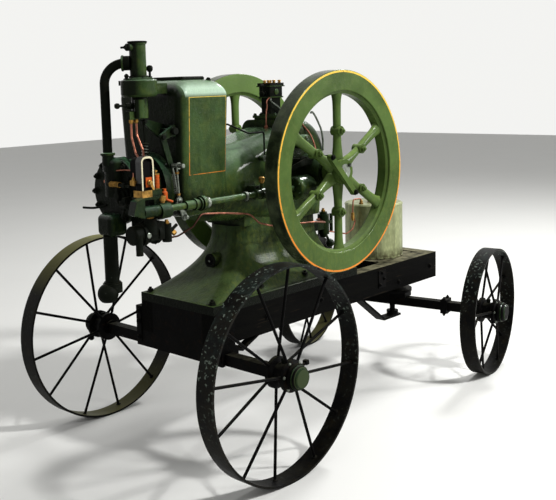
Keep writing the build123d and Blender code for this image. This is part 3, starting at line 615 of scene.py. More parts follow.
class Form:
    """One piece, made of turned, bent and cut stock inside a with block, and kept when the block ends."""

    def __init__(self, name, slot, body=ENGINE, finish=None):
        self.name = name
        self.duty = (body, slot, finish)
        self.stock = bmesh.new()

    def __enter__(self):
        return self

    def __exit__(self, fault, *_):
        if fault is None:
            self.done()

    def skin(self, rings, bevel=0.0):
        """Closes a row of equal rings of points into one solid."""
        rows = [[self.stock.verts.new(point) for point in ring] for ring in rings]
        faces = [self.stock.faces.new(rows[0]), self.stock.faces.new(rows[-1])]
        for row, following in zip(rows, rows[1:]):
            for i in range(len(row)):
                j = (i + 1) % len(row)
                faces.append(self.stock.faces.new((row[i], row[j], following[j], following[i])))
        if bevel:
            edges = list({edge for face in faces for edge in face.edges})
            bmesh.ops.bevel(
                self.stock, geom=edges, offset=bevel * MM, segments=2, affect="EDGES", clamp_overlap=True)

    def turned(self, place, axis, profile, steps=24):
        """A shape from the lathe: profile gives distance along the axis and radius, in millimetres."""
        place, axis = spot(place), Vector(axis).normalized()
        side = axis.orthogonal().normalized()
        across = axis.cross(side)
        angles = [math.tau * i / steps for i in range(steps)]
        rings = []
        for along, r in profile:
            centre = place + axis * along * MM
            rings.append([centre + (side * math.cos(a) + across * math.sin(a)) * r * MM for a in angles])
        self.skin(rings)

    def solid(self, place, axis, profile, steps=24):
        """A shape from the lathe that is closed at its axis at both ends."""
        start = [(profile[0][0], 0)]
        end = [(profile[-1][0], 0)] if profile[-1][1] else []
        self.turned(place, axis, start + profile + end, steps)

    def pipe(self, points, r):
        """A round bar or pipe along one smooth line."""
        line = bpy.data.curves.new("line", "CURVE")
        line.dimensions = "3D"
        line.bevel_depth = r * MM
        line.bevel_resolution = 3
        line.use_fill_caps = True
        line.resolution_u = 8
        spline = line.splines.new("NURBS")
        spline.points.add(len(points) - 1)
        for knot, place in zip(spline.points, points):
            knot.co = (*spot(place), 1)
        spline.use_endpoint_u = True
        spline.order_u = 3
        holder = bpy.data.objects.new("line", line)
        mesh = bpy.data.meshes.new_from_object(holder)
        self.stock.from_mesh(mesh)
        bpy.data.objects.remove(holder)
        bpy.data.curves.remove(line)
        bpy.data.meshes.remove(mesh)

    def plate(self, outline, place, u, v, thickness, bevel=0.0):
        """A flat piece: outline gives millimetres along u and v, and it grows on both sides of its plane."""
        u, v = Vector(u).normalized(), Vector(v).normalized()
        place, out = spot(place), u.cross(v)
        rings = []
        for side in (-0.5, 0.5):
            rings.append([place + (u * a + v * b + out * side * thickness) * MM for a, b in outline])
        self.skin(rings, bevel)

    def block(self, place, sides, u=RIGHT, v=FAR, bevel=1.5):
        """A bevelled block round its middle, with its sides along u, v and their cross."""
        a, b, c = sides
        corners = [(-a / 2, -b / 2), (a / 2, -b / 2), (a / 2, b / 2), (-a / 2, b / 2)]
        self.plate(corners, place, u, v, c, bevel)

    def lever(self, start, end, start_r, end_r, y, thickness):
        """A flat lever between two eyes, given as (x, z), that stands across at one y."""
        run = math.atan2(end[1] - start[1], end[0] - start[0])
        lean = math.asin((start_r - end_r) / math.dist(start, end))
        outline = []
        for eye, r, first, last in (
            (start, start_r, math.pi / 2 - lean, 1.5 * math.pi + lean),
            (end, end_r, -math.pi / 2 + lean, math.pi / 2 - lean),
        ):
            for i in range(9):
                a = run + first + (last - first) * i / 8
                outline.append((eye[0] + r * math.cos(a), eye[1] + r * math.sin(a)))
        self.plate(outline, (0, y, 0), RIGHT, UP, thickness, 1)

    def done(self):
        """Closes the piece's poles, turns its faces outwards and keeps it."""
        stock = self.stock
        bmesh.ops.remove_doubles(stock, verts=stock.verts[:], dist=2e-6)
        bmesh.ops.dissolve_degenerate(stock, dist=1e-6, edges=stock.edges[:])
        bmesh.ops.recalc_face_normals(stock, faces=stock.faces[:])
        mesh = bpy.data.meshes.new(self.name)
        stock.to_mesh(mesh)
        stock.free()
        piece = bpy.data.objects.new(self.name, mesh)
        bpy.context.scene.collection.objects.link(piece)
        keep(piece, *self.duty)


# Places that several fittings share, in the millimetres that at() takes
CRANK_X, CRANK_Z = 725, 1213
SHAFT_Y, SHAFT_Z = -230, 1147
MIXER = (-289, -100)
COIL = (-313, -208)
MAGNETO_X = -368
TANK_X, TANK_R = 1494, 162
LUG_R, LUG_Y = 195, 360.5
BIG_R, SMALL_R = 457, 348.5

# Places on a wheel, in millimetres from its axis or out from its middle plane
SPOKE_OUT = 11.7
BOLT_R, BOLT_OUT = 59, 52
RING_OUT, CAP_OUT = 62, 102
PLUG_R = 44

# Lathe profiles: distance along the axis and radius, in millimetres
BALL_KNOB = [(0, 4), (6, 4), (8, 6.5), (12, 9), (17, 9.4), (21, 7), (24, 3.5), (25, 0)]
CAP_NUT = [(0, 9), (5, 9), (6, 6), (9, 6), (10, 8.5), (15, 8.5), (17, 6), (17, 0)]
OIL_CUP = [(-6, 6), (0, 6), (2, 9), (6, 9), (8, 13), (22, 14), (24, 15), (26, 15), (30, 11), (33, 0)]


def round_x(x, y, z, r, degrees):
    """Places on a circle round an axis along x, counted from the far side upwards."""
    turns = [math.radians(angle) for angle in degrees]
    return [(x, y + r * math.cos(a), z + r * math.sin(a)) for a in turns]


def add_fasteners(settings):
    """Nuts, bolts and rivet heads, one piece for each body and each finish."""
    nut, rivet = nut_recipe(), rivet_recipe()
    size = settings.nut / MM
    cover = (28, -2, -30, -58, 56, 124, 152, 182, 210, 238)
    dark = [(place, LEFT, size) for place in round_x(-360, 0, crank.z / MM, 126, cover)]
    for x in (-16, 300, 620, 950):
        for y in (-206, 206):
            place, _ = land(["base_pedestal"], (x, y, 800), DOWN)
            dark.append((place - Vector((0, 0, 0.001)), UP, size * 1.1))
    grow(nut, "casting_nuts", dark, "oily_iron", Stud=0.5)

    green = [((x, y, 1485), UP, 9) for x in (588, 647, 706) for y in (-66, 66)]
    green += [(place, LEFT, 5.5) for place in round_x(520, SHAFT_Y, SHAFT_Z, 42, range(30, 390, 60))]
    grow(nut, "cover_nuts", green, "engine_green", Stud=0.25)

    truck = []
    for side in (-1, 1):
        for x, z in ((1220, 618), (1239, 585), (1201, 556), (1382, 540), (300, 576), (700, 576), (1700, 576)):
            truck.append(((x, side * 241, z), (0, side, 0), 11))
        truck += [((-44, side * 263, z), LEFT, 12) for z in (596, 545, 470)]
        truck.append(((1765, side * 203, 574), RIGHT, 13))
    grow(nut, "truck_bolts", truck, "truck_black", Nut=0.6, Stud=0.35)
    screws = [((x, y, sill_top / MM), UP, 7) for x in (1324, 1664) for y in (-140, -50, 50, 140)]
    grow(rivet, "board_screws", screws, "truck_black", Height=0.4)

    lugs, clamps = [], []
    for side in (-1, 1):
        for i in range(6):
            a = math.radians(60 * i)
            place = (CRANK_X + LUG_R * math.sin(a), side * LUG_Y, CRANK_Z + LUG_R * math.cos(a))
            lugs.append((place, (0, side, 0), 14))
        for x in (-29, 29):
            for up in (1, -1):
                clamps.append((steered(x, side * 330, SMALL_R + 40 * up), (0, 0, up), 9))
    grow(nut, "flywheel_lug_bolts", lugs, "flywheel_green", "crank", Stud=0.35)
    grow(nut, "axle_clamp_nuts", clamps, "truck_black", "steering", Stud=0.6)


def wheel_places():
    """Each wheel's body, centre, turn with the axle, outward axis, radius and first spoke's angle."""
    for name, side, first in (("near", -1, 7.5), ("far", 1, 20.3)):
        for size, steer, r in (("big", 0, BIG_R), ("small", steer_rest, SMALL_R)):
            turn = Matrix.Rotation(steer, 3, "Z")
            body = f"{size}_wheel_{name}"
            yield body, middle(f"{body}_tyre"), turn, turn @ Vector((0, side, 0)), r, first


def add_wheels():
    """Spoke collars, heads on the hub flanges, a capped end and an oil plug for each wheel."""
    nut, rivet = nut_recipe(), rivet_recipe()
    for body, centre, steer, outward, wheel_r, first in wheel_places():
        collars, heads = [], []
        for i in range(12):
            # Spokes are counted from the top towards +x
            radial = steer @ Matrix.Rotation(math.radians(first + 30 * i), 3, "Y") @ Vector(UP)
            row = (1 if i % 2 else -1) * SPOKE_OUT * MM
            collars.append((centre + radial * (wheel_r - 10) * MM + outward * row, -radial, 12))
            if i % 2:
                heads.append((centre + radial * BOLT_R * MM + outward * BOLT_OUT * MM, outward, 6))
        grow(rivet, f"{body}_collars", collars, "truck_black", body, Height=0.45)
        grow(nut, f"{body}_flange_bolts", heads, "bright_steel", body, Washer=0.1, Nut=0.5, Stud=0.1)
        with Form(f"{body}_cap_end", "engine_green", body, "head_green") as f:
            profile = [(-29, 51), (-22, 53), (-17, 46), (-2, 42), (-1, 38)]
            f.solid(centre + outward * CAP_OUT * MM, outward, profile, 32)
        with Form(f"{body}_cap_ring", "truck_black", body) as f:
            profile = [(-4, 40), (-4, 54), (0, 56), (8, 56), (12, 54), (12, 40)]
            f.turned(centre + outward * RING_OUT * MM, outward, profile, 36)
        if body == "big_wheel_far":
            with Form("big_wheel_far_oil_cup", "truck_black", body) as f:
                f.pipe([centre + Vector((0, 0.03, -0.03)), (-24, 640, 412), (-44, 650, 393)], 6)
                f.solid((-44, 650, 400), DOWN, [(-4, 9), (4, 14), (14, 14), (20, 8)], 16)
        if body == "big_wheel_near":
            with Form("big_wheel_near_tap", "truck_black", body) as f:
                f.pipe([(38, -640, 471), (84, -640, 489)], 7)
                f.block((92, -640, 492), (20, 22, 20), bevel=2)
        with Form(f"{body}_oil_plug", "oily_iron", body) as f:
            profile = [(-4, 9), (6, 9), (8, 12), (20, 12), (23, 8)]
            f.solid(centre + Vector(UP) * PLUG_R * MM, UP, profile, 6)


def add_lubricator():
    """Knobs on the lid, the crank at its side, its foot, and the pipes that leave the box."""
    with Form("lubricator_knobs", "brass") as f:
        for x, y in ((594, -22), (634, -22), (674, -22), (614, 20), (654, 20)):
            f.turned((x, y, 1640), UP, CAP_NUT, 16)
    with Form("lubricator_bands", "engine_green") as f:
        f.block((634, 0, 1627), (114, 90, 5))
        f.block((634, 0, 1574), (102, 78, 6))
        f.solid((634, -36, 1600), NEAR, [(-2, 15), (3, 15), (5, 12)])
    with Form("lubricator_crank", "oily_iron") as f:
        f.solid((588, -8, 1592), LEFT, [(-4, 11), (10, 11), (12, 6), (30, 6)], 16)
        f.pipe([(562, -8, 1588), (562, -10, 1612), (558, -12, 1636)], 4.5)
        f.solid((562, -12, 1630), LEFT, [(-8, 6), (14, 6), (17, 4)], 14)
        f.solid((556, -8, 1592), LEFT, [(-6, 13), (2, 13), (4, 10)], 20)
    foot, _ = land(["crankcase", "cylinder_and_hopper"], (550, -40, 1600), DOWN)
    bends = [(592, -34, 1572), (572, -38, 1570), (556, -40, 1552), (562, -40, 1530), (550, -40, 1500)]
    with Form("oil_pipe", "copper") as f:
        f.pipe([*bends, foot - Vector((0, 0, 0.004))], 3)
        f.solid(foot, UP, [(-3, 10), (10, 10), (12, 7), (16, 7)], 6)
    bends = [(584, -46, 1566), (572, -48, 1560), (600, -50, 1542), (655, -50, 1512), (668, -48, 1484)]
    with Form("drip_pipe", "bright_steel") as f:
        f.pipe(bends, 3.5)
        f.solid((668, -48, 1482), UP, [(0, 8), (9, 8), (11, 5)], 6)
    with Form("lubricator_foot", "engine_green") as f:
        f.block((634, 0, 1489), (112, 66, 8), bevel=2)
    bolts = [((x, y, 1493), UP, 6) for x in (584, 684) for y in (-22, 22)]
    grow(nut_recipe(), "lubricator_bolts", bolts, "oily_iron")


def add_valve_gear():
    """Pins, springs and adjusters of the rocker levers and their rods."""
    with Form("rocker_pins", "oily_iron") as f:
        f.solid((-184, -196, 1457), FAR, [(-4, 14), (4, 16), (7, 16)], 20)
        f.solid((-276, -118, 1501), FAR, [(-3, 8), (3, 9)], 16)
        f.solid((-240, -188, 1435), FAR, [(-3, 9), (4, 10), (8, 10)], 16)
    with Form("valve_gear_pins", "bright_steel") as f:
        f.solid((-200, -252, 1316), FAR, [(-4, 7), (-2, 9.5), (62, 9.5)], 20)
        f.turned((-200, -226, 1316), FAR, [(0, 12), (0, 14), (5, 14), (5, 12)], 20)
        f.solid((-153, -206, 1095), NEAR, [(-4, 11), (2, 11), (5, 8), (12, 8), (14, 5)], 18)
        f.solid((-183, -204, 1169), NEAR, [(0, 9), (4, 9), (6, 6)], 16)
    seat, _ = land(["cylinder_head"], (-276, -105, 1440), DOWN)
    top = 1488 - seat.z / MM
    with Form("exhaust_valve_stem", "oily_iron") as f:
        f.solid(seat, UP, [(-12, 15), (14, 15), (17, 12)], 20)
        f.turned(seat, UP, [(0, 5), (top, 5), (top, 8), (top + 5, 8), (top + 7, 0)], 14)
        f.turned(seat, UP, [(118, 4), (118, 17), (123, 18), (126, 12), (128, 4)], 20)
    spring = spring_recipe()
    coil = [(seat + Vector((0, 0, 0.016)), UP, 103)]
    grow(spring, "exhaust_valve_spring", coil, "bright_steel", Turns=8.0, Coil=0.13, Wire=0.018)
    foot = at(-186.4, -188.9, 1196)
    coil = [(foot, at(-199, -187, 1300) - foot, 84)]
    grow(spring, "push_rod_spring", coil, "bright_steel", Turns=11.0, Coil=0.1, Wire=0.018)
    low = at(-184.4, -200.8, 1184)
    rod = at(-200, -213, 1307) - low
    with Form("push_rod_nuts", "brass") as f:
        for share in (0.06, 0.8):
            f.turned(low + rod * share, rod, [(0, 4), (0, 9), (8, 9), (8, 4)], 6)


def add_magneto():
    """The magneto's end plate, case, pole pieces, winding and terminals, and the arm that trips it."""
    with Form("magneto_end_plate", "coil_orange") as f:
        f.block((-360, -221, 1264), (34, 40, 3), RIGHT, UP, 1)
    with Form("magneto_trip_arm", "brass") as f:
        f.solid((-360, -222, 1262), NEAR, [(0, 11), (6, 11), (8, 8), (14, 8), (15, 0)], 20)
        f.lever((-360, 1262), (-346, 1236), 8, 5, -231, 4)
    half, foot_z, arch_z = 26, 1234, 1336
    turns = [math.pi * i / 12 for i in range(13)]
    arch = [(half * math.cos(a), arch_z + half * math.sin(a)) for a in turns]
    with Form("magneto_case", "magneto_black") as f:
        f.plate([(half, foot_z), *arch, (-half, foot_z)], (MAGNETO_X, -181, 0), RIGHT, UP, 66, 2)
        f.solid((MAGNETO_X, -148, 1300), FAR, [(0, 20), (5, 20), (8, 14)], 20)
    with Form("pole_pieces", "magneto_black") as f:
        for aside in (-28, 28):
            f.block((MAGNETO_X + aside, -208, 1246), (12, 34, 30), bevel=2)
    with Form("magneto_winding", "coil_orange") as f:
        for i in range(9):
            turn = [(0, 9), (0, 14.5), (1, 15.5), (4, 15.5), (5, 14.5), (5, 9)]
            f.turned((*COIL, 1236 + 6 * i), UP, turn)
        f.solid((*COIL, 1230), UP, [(0, 12), (60, 12)], 20)
    with Form("magneto_terminals", "brass") as f:
        for z in (1231, 1290):
            f.solid((*COIL, z), UP, [(0, 18), (4, 18)], 6)
        f.solid((*COIL, 1293), UP, [(0, 4), (8, 4), (8, 8), (14, 8), (16, 5)], 12)
        f.block((-402, -176, 1262), (16, 30, 22), bevel=2)
        f.solid((-402, -176, 1272), UP, [(0, 7), (8, 7), (10, 4), (14, 4)], 6)
    with Form("trip_plunger", "coil_orange") as f:
        f.solid((-284, -222, 1186), UP, [(0, 13), (8, 15), (30, 15), (34, 10), (44, 10)], 18)
        f.pipe([(-284, -222, 1190), (-268, -226, 1182), (-252, -228, 1176), (-246, -232, 1172)], 5)


def add_igniter():
    """The igniter with its trip rod, spring, blocks and lead, between the head and the magneto."""
    with Form("igniter_gear", "oily_iron") as f:
        flange = [(-2, 36), (9, 36), (12, 30), (24, 30), (27, 17), (44, 17), (46, 0)]
        f.solid((-360, -62, 1198), LEFT, flange, 28)
        f.block((-398, -62, 1222), (10, 22, 70), bevel=2)
        f.pipe([(-404, -20, 1248), (-404, -90, 1250), (-404, -156, 1246)], 6)
        f.solid((-404, -22, 1248), FAR, [(-4, 10), (8, 10), (10, 7)], 6)
        f.solid((-404, -110, 1249), NEAR, [(0, 11), (16, 11), (18, 8)], 18)
        f.pipe([(-400, -62, 1190), (-412, -80, 1172), (-416, -110, 1160), (-424, -150, 1166)], 5)
        f.solid((-424, -146, 1166), NEAR, [(0, 9), (10, 9), (12, 5)], 14)
        f.block((-384, -108, 1186), (40, 30, 26), bevel=4)
        f.pipe([(-396, -120, 1176), (-420, -128, 1140), (-432, -128, 1120)], 5)
        f.pipe([(-362, 60, 1150), (-384, 96, 1138), (-386, 176, 1134), (-386, 190, 1134)], 5)
    coil = [((-404, -92, 1250), FAR, 60)]
    grow(spring_recipe(), "igniter_spring", coil, "brass", Turns=9.0, Coil=0.17, Wire=0.03)
    bends = [(-378, 30, 1262), (-382, 15, 1290), (-380, -33, 1304), (-380, -120, 1310), (-388, -166, 1308)]
    with Form("igniter_lead", "copper") as f:
        f.pipe([*bends, (-402, -176, 1284)], 3)
        f.solid((-376, 33, 1256), LEFT, [(-16, 11), (4, 11), (6, 7), (10, 7)], 6)


def add_mixer():
    """Knobs, unions, screws, rings and flanges of the mixer, and the lever that works its choke."""
    with Form("needle_valve", "oily_iron") as f:
        needle = [(-8, 9), (16, 9), (18, 5), (52, 5), (53, 11), (60, 12), (66, 10), (68, 0)]
        f.solid((-356, -110, 1569), LEFT, needle, 18)
        f.solid((-340, -110, 1540), LEFT, [(-10, 7), (8, 7), (10, 4), (28, 4), (30, 0)], 6)
    with Form("mixer_unions", "brass") as f:
        for x in (-347, -321):
            f.solid((x, -111, 1514), DOWN, [(-2, 9), (2, 10), (13, 10), (15, 8.5), (19, 6)], 6)
        for x in (-377, -351):
            f.solid((x, -184, 1352), DOWN, [(-6, 8), (6, 8), (8, 6)], 6)
    with Form("mixer_knobs", "oily_iron") as f:
        place, _ = land(["mixer_bowl"], (-352, -100, 1800), DOWN)
        f.turned(place, UP, BALL_KNOB, 18)
        place, _ = land(["mixer_bowl"], (-245, -120, 1800), DOWN)
        f.turned(place, UP, [(-2, 5), (30, 5), (32, 9), (38, 13), (50, 13), (56, 9), (58, 0)], 18)
    with Form("mixer_bowl_rings", "engine_green") as f:
        f.turned((*MIXER, 1672), UP, [(-3, 30), (-3, 62), (1, 63), (5, 62), (7, 58), (7, 30)], 48)
        f.turned((*MIXER, 1602), UP, [(0, 20), (0, 66), (3, 70), (9, 72), (9, 20)], 48)
    screws = []
    for i in range(8):
        a = math.tau * (i + 0.5) / 8
        screws.append(((MIXER[0] + 54 * math.cos(a), MIXER[1] + 54 * math.sin(a), 1679), UP, 5))
    grow(nut_recipe(), "mixer_screws", screws, "oily_iron", Stud=0.1)
    with Form("intake_pipe_flanges", "engine_green") as f:
        run = Vector((99, -100, 0)).normalized()
        socket = [(0, 10), (0, 33), (7, 33), (8, 24), (22, 26), (30, 30), (30, 10)]
        f.turned(at(*MIXER, 1740) - run * 66 * MM, run, socket, 28)
        f.turned((-388, 0, 1366), UP, [(0, 10), (0, 29), (3, 31), (9, 31), (12, 26), (12, 10)], 28)
    with Form("choke_lever", "oily_iron") as f:
        f.turned((*MIXER, 1820), UP, [(0, 30), (0, 40), (2, 41), (5, 41), (6.5, 39), (6.5, 30)], 32)
        f.solid((-339, -100, 1802), LEFT, [(-2, 15), (6, 15), (8, 8), (16, 8)], 20)
        f.block((-350, -88, 1802), (7, 40, 9), bevel=2)


def add_hopper_details():
    """Plugs on the hopper's crown and the socket plug in the base."""
    with Form("hopper_plugs", "oily_iron") as f:
        f.turned(*land(["cylinder_and_hopper"], (-96, 60, 1800), DOWN), BALL_KNOB, 18)
        plug = [(-4, 13), (4, 13), (6, 9), (10, 9), (12, 0)]
        f.solid(*land(["cylinder_and_hopper"], (60, -150, 1800), DOWN), plug, 6)
    face, _ = land(["base_pedestal"], (-100, 0, 827), RIGHT)
    with Form("base_plug_rim", "oily_iron") as f:
        f.turned(face, LEFT, [(-4, 22), (2, 22), (4, 24), (4, 32), (1, 35), (-4, 35)], 32)
    with Form("base_plug_socket", "magneto_black") as f:
        f.solid(face, LEFT, [(-2, 23), (0.6, 23)])
    with Form("base_plug_key", "bright_steel") as f:
        f.solid(face, LEFT, [(0, 6), (5, 6), (8, 4), (9, 0)], 4)


def add_governor():
    """The governor's nut, bracket and housing, and the two small pipes beside it."""
    with Form("governor_boss_nut", "bright_steel") as f:
        f.solid((366, -197, 1300), NEAR, [(-4, 16), (3, 16), (6, 12), (6, 7), (14, 7), (15, 0)], 20)
    with Form("governor_bracket", "oily_iron") as f:
        f.block((650, -196, 1262), (150, 70, 34), bevel=5)
        f.solid((596, -225, 1268), NEAR, [(0, 26), (8, 26), (11, 22), (16, 22), (16, 10), (26, 10)])
        f.solid((700, -225, 1262), NEAR, [(0, 20), (12, 20), (15, 14), (22, 14)])
        f.lever((596, 1268), (480, 1244), 15, 9, -246, 8)
        f.pipe([(480, -256, 1244), (480, -236, 1244), (470, -236, 1200), (474, -236, 1166)], 5)
    with Form("governor_housing", "engine_green") as f:
        f.solid((644, -150, 1358), NEAR, [(0, 34), (60, 34), (66, 30), (70, 12), (78, 10), (80, 0)], 32)
    bends = [(757, -150, 1488), (762, -152, 1506), (798, -158, 1456), (835, -165, 1380), (850, -150, 1300)]
    with Form("breather_tube", "bright_steel") as f:
        f.pipe(bends, 5)
    bends = [(686, -60, 1487), (690, -100, 1478), (700, -140, 1440), (748, -170, 1372), (748, -190, 1290)]
    with Form("bearing_oil_pipe", "copper") as f:
        f.pipe(bends, 4)


def add_crank_details():
    """The keys and turned ends of the crankshaft, the flywheels' hub bands and the starting bar's bolts."""
    with Form("crankshaft_ends", "bright_steel", "crank") as f:
        for side in (-1, 1):
            end = [(-3, 35), (0.5, 34), (0.5, 9), (-2, 4)]
            f.solid((CRANK_X, side * 381, CRANK_Z), (0, side, 0), end, 36)
            f.block((CRANK_X + 30, side * 384, CRANK_Z + 30), (16, 12, 22), (0.7, 0, 0.7), (-0.7, 0, 0.7))
    with Form("flywheel_hub_bands", "flywheel_green", "crank") as f:
        for side in (-1, 1):
            band = [(0, 50), (0, 59), (6, 58), (9, 54), (9, 50)]
            f.turned((CRANK_X, side * 370, CRANK_Z), (0, side, 0), band, 40)
    bolts = [((599, -404, 1293), NEAR, 11), ((773, -404, 1112), NEAR, 11)]
    grow(nut_recipe(), "starting_bar_bolts", bolts, "oily_iron", "crank", Stud=0.3)


def add_side_shaft():
    """The side shaft's collars, its oil cups and its bearing's bolts."""
    with Form("side_shaft_collars", "bright_steel", "side_shaft_body") as f:
        for x, profile in (
            (-60, [(0, 14), (0, 22), (4, 24), (14, 24), (18, 22), (18, 14)]),
            (180, [(0, 14), (0, 21), (12, 21), (12, 14)]),
            (430, [(0, 14), (0, 24), (3, 26), (20, 26), (23, 24), (23, 14)]),
        ):
            f.turned((x, SHAFT_Y, SHAFT_Z), RIGHT, profile)
    with Form("side_shaft_oil_cups", "brass") as f:
        place, _ = land(["side_shaft_housing"], (-300, SHAFT_Y, 1190), DOWN)
        f.solid((299, SHAFT_Y, 1193), UP, OIL_CUP, 20)
        f.solid(place, UP, OIL_CUP, 20)
    bolts = [((x, SHAFT_Y, SHAFT_Z + 26), UP, 7) for x in (269, 329)]
    grow(nut_recipe(), "side_shaft_bearing_bolts", bolts, "oily_iron")


def add_tank():
    """Rolled beads, the side seam and the fittings on the fuel tank, and the cock in its line."""
    low, high, r = sill_top / MM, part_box("fuel_tank")[1].z / MM, TANK_R
    with Form("tank_beads", "tank_zinc") as f:
        for z in (low + 5, high - 9):
            bead = [(-4, r - 4), (-4, r), (-2, r + 2.5), (2, r + 2.5), (4, r), (4, r - 4)]
            f.turned((TANK_X, 0, z), UP, bead, 64)
        seam = (3, 16, high - low - 22)
        f.block((TANK_X - 118, -112, (low + high) / 2), seam, (0.69, 0.72, 0), (-0.72, 0.69, 0), 1)
    with Form("tank_cap_rim", "tank_zinc") as f:
        rim = [(-8, 30), (-8, 38), (-4, 40), (5, 40), (9, 36), (10, 12), (16, 9), (18, 0)]
        f.turned((TANK_X, 0, high + 22), UP, rim, 32)
    with Form("tank_union", "brass") as f:
        f.solid((TANK_X - 119, 0, high), UP, [(-2, 13), (7, 13), (9, 9), (20, 9), (22, 6)], 6)
    with Form("line_cock", "brass") as f:
        f.solid((1294, 0, 905), DOWN, [(-12, 10), (4, 10), (6, 12), (22, 12), (24, 9), (34, 9)], 6)


def add_pump_details():
    """Glands and screws on the two fuel pumps, and a plug."""
    with Form("pump_glands", "brass") as f:
        f.solid((-212, -192.5, 1036), (0.83, 0, 0.55), [(-8, 11), (8, 11), (10, 8)], 6)
        f.solid((-250, -192.5, 1080), UP, [(-3, 13), (8, 13), (10, 8), (16, 8)], 6)
        f.solid((-336, -192.5, 1112), UP, [(-3, 16), (9, 16), (12, 10), (18, 10)], 6)
        f.solid((937, -75, 972), UP, [(-3, 12), (8, 12), (10, 7), (18, 7)], 6)
    screws = []
    for x in (-372, -300):
        screws += [(place, LEFT, 4) for place in round_x(x, -160.5, 1046, 46, (200, 250, 300, 340))]
    grow(nut_recipe(), "pump_screws", screws, "oily_iron")
    place, _ = land(["fuel_pump"], (-360, -260, 1046), FAR)
    with Form("pump_plug", "bright_steel") as f:
        f.solid(place, NEAR, [(-2, 12), (3, 12), (5, 9)], 8)


def add_truck_plates():
    """The plates under the truck's bolt heads."""
    with Form("sill_plates", "truck_black") as f:
        for side in (-1, 1):
            f.block((-46, side * 263, 530), (4, 36, 170))
            f.block((1222, side * 243, 586), (70, 5, 96))
            f.block((1767, side * 203, 574), (4, 56, 60))


def lamp(name, place, aim, size, power):
    data = bpy.data.lights.new(name, "AREA")
    data.shape = "DISK"
    data.size = size
    data.energy = power
    light = bpy.data.objects.new(name, data)
    light.location = place
    light.rotation_euler = (Vector(aim) - Vector(place)).to_track_quat("-Z", "Y").to_euler()
    bpy.context.scene.collection.objects.link(light)


def look_from(place, yaw, pitch, roll):
    """The camera's matrix. Yaw turns from +Y towards +X, pitch looks up, roll leans to the right."""
    ahead = Vector((math.sin(yaw), math.cos(yaw), 0))
    right = Vector((math.cos(yaw), -math.sin(yaw), 0))
    up = Vector((0, 0, 1))
    view = ahead * math.cos(pitch) + up * math.sin(pitch)
    top = -ahead * math.sin(pitch) + up * math.cos(pitch)
    leaned_right = right * math.cos(roll) + top * math.sin(roll)
    leaned_top = -right * math.sin(roll) + top * math.cos(roll)
    turn = Matrix((leaned_right, leaned_top, -view)).transposed().to_4x4()
    return Matrix.Translation(place) @ turn


# The photo's camera, from the sizes in the picture: its place, its turn and its frame
eye = Vector((-3.4623, -2.8943, 1.6403))
eye_yaw = 0.7964
eye_pitch = -0.129
eye_roll = -0.0304
photo_w = 556
photo_h = 500
focal_px = 878.4
centre_px = (230.97, 198.67)
sensor = 36.0


def add_camera():
    data = bpy.data.cameras.new("Camera")
    data.sensor_width = sensor
    data.lens = focal_px / photo_w * sensor
    data.shift_x = (photo_w / 2 - centre_px[0]) / photo_w
    data.shift_y = (centre_px[1] - photo_h / 2) / photo_w
    data.clip_end = 100
    camera = bpy.data.objects.new("Camera", data)
    camera.matrix_world = look_from(eye, eye_yaw, eye_pitch, eye_roll)
    bpy.context.scene.collection.objects.link(camera)
    bpy.context.scene.camera = camera


def add_stage(settings):
    """The floor, the lamps, and a world that looks white to the eye, to mirrors and to glass."""
    world = bpy.data.worlds.new("Studio")
    world.use_nodes = True
    world.node_tree.nodes.clear()
    g = Graph(world.node_tree)
    sky = g.node("ShaderNodeBackground", {}, {"Color": (1, 1, 1, 1), "Strength": settings.sky})
    path = g.tree.nodes.new("ShaderNodeLightPath")
    rays = [Flow(g, path.outputs[kind]) for kind in ("Is Camera Ray", "Is Glossy Ray", "Is Transmission Ray")]
    seen = g.maths("MAXIMUM", g.maths("MAXIMUM", rays[0], rays[1]), rays[2])
    white = g.node("ShaderNodeBackground", {}, {"Color": (0.9, 0.9, 0.88, 1), "Strength": 1.0})
    blend = g.node("ShaderNodeMixShader", {}, {0: seen, 1: sky, 2: white})
    output = g.tree.nodes.new("ShaderNodeOutputWorld")
    g.tree.links.new(blend.socket, output.inputs[0])
    bpy.context.scene.world = world

    bpy.ops.mesh.primitive_plane_add(size=40, location=(0, 0, 0))
    floor = bpy.context.object
    floor.name = "floor"
    f = Finish("Pale floor")
    shaded = (c * 0.96 for c in settings.floor)
    tone = f.mix(f.noise(1.5, 3), (*settings.floor, 1), (*shaded, 1))
    floor.data.materials.append(f.set(base_color=tone, roughness=0.6))

    reach = (high_corner - low_corner).length
    aim = (0, 0, high_corner.z / 2)
    lamp("key", (0.5 * reach, -1.7 * reach, 1.9 * reach), aim, 0.8, settings.key)
    lamp("side", (1.25 * reach, -1.3 * reach, 0.75 * reach), aim, 1.0, settings.side)
    lamp("fill", (-2.0 * reach, -0.6 * reach, 1.0 * reach), aim, 2.0, settings.fill)
    lamp("rim", (1.6 * reach, 0.15 * reach, 1.75 * reach), aim, 1.5, settings.rim)
    bpy.context.scene.view_settings.view_transform = "Standard"


class StageSettings(bpy.types.PropertyGroup):
    floor: FloatVectorProperty(
        name="Floor", description="Colour of the floor", subtype="COLOR", default=(0.8, 0.8, 0.77),
        min=0, max=1)
    sky: FloatProperty(name="Sky", description="Strength of the even light", default=0.3, min=0)
    key: FloatProperty(name="Key", description="Power of the main lamp", default=560, min=0, unit="POWER")
    fill: FloatProperty(name="Fill", description="Power of the side lamp", default=25, min=0, unit="POWER")
    side: FloatProperty(name="Side", description="Power of the low lamp", default=190, min=0, unit="POWER")
    rim: FloatProperty(name="Rim", description="Power of the lamp behind", default=300, min=0, unit="POWER")


class FittingSettings(bpy.types.PropertyGroup):
    nut: FloatProperty(
        name="Nut", description="Radius of the nuts on the castings", default=0.0125, min=0.004,
        unit="LENGTH")


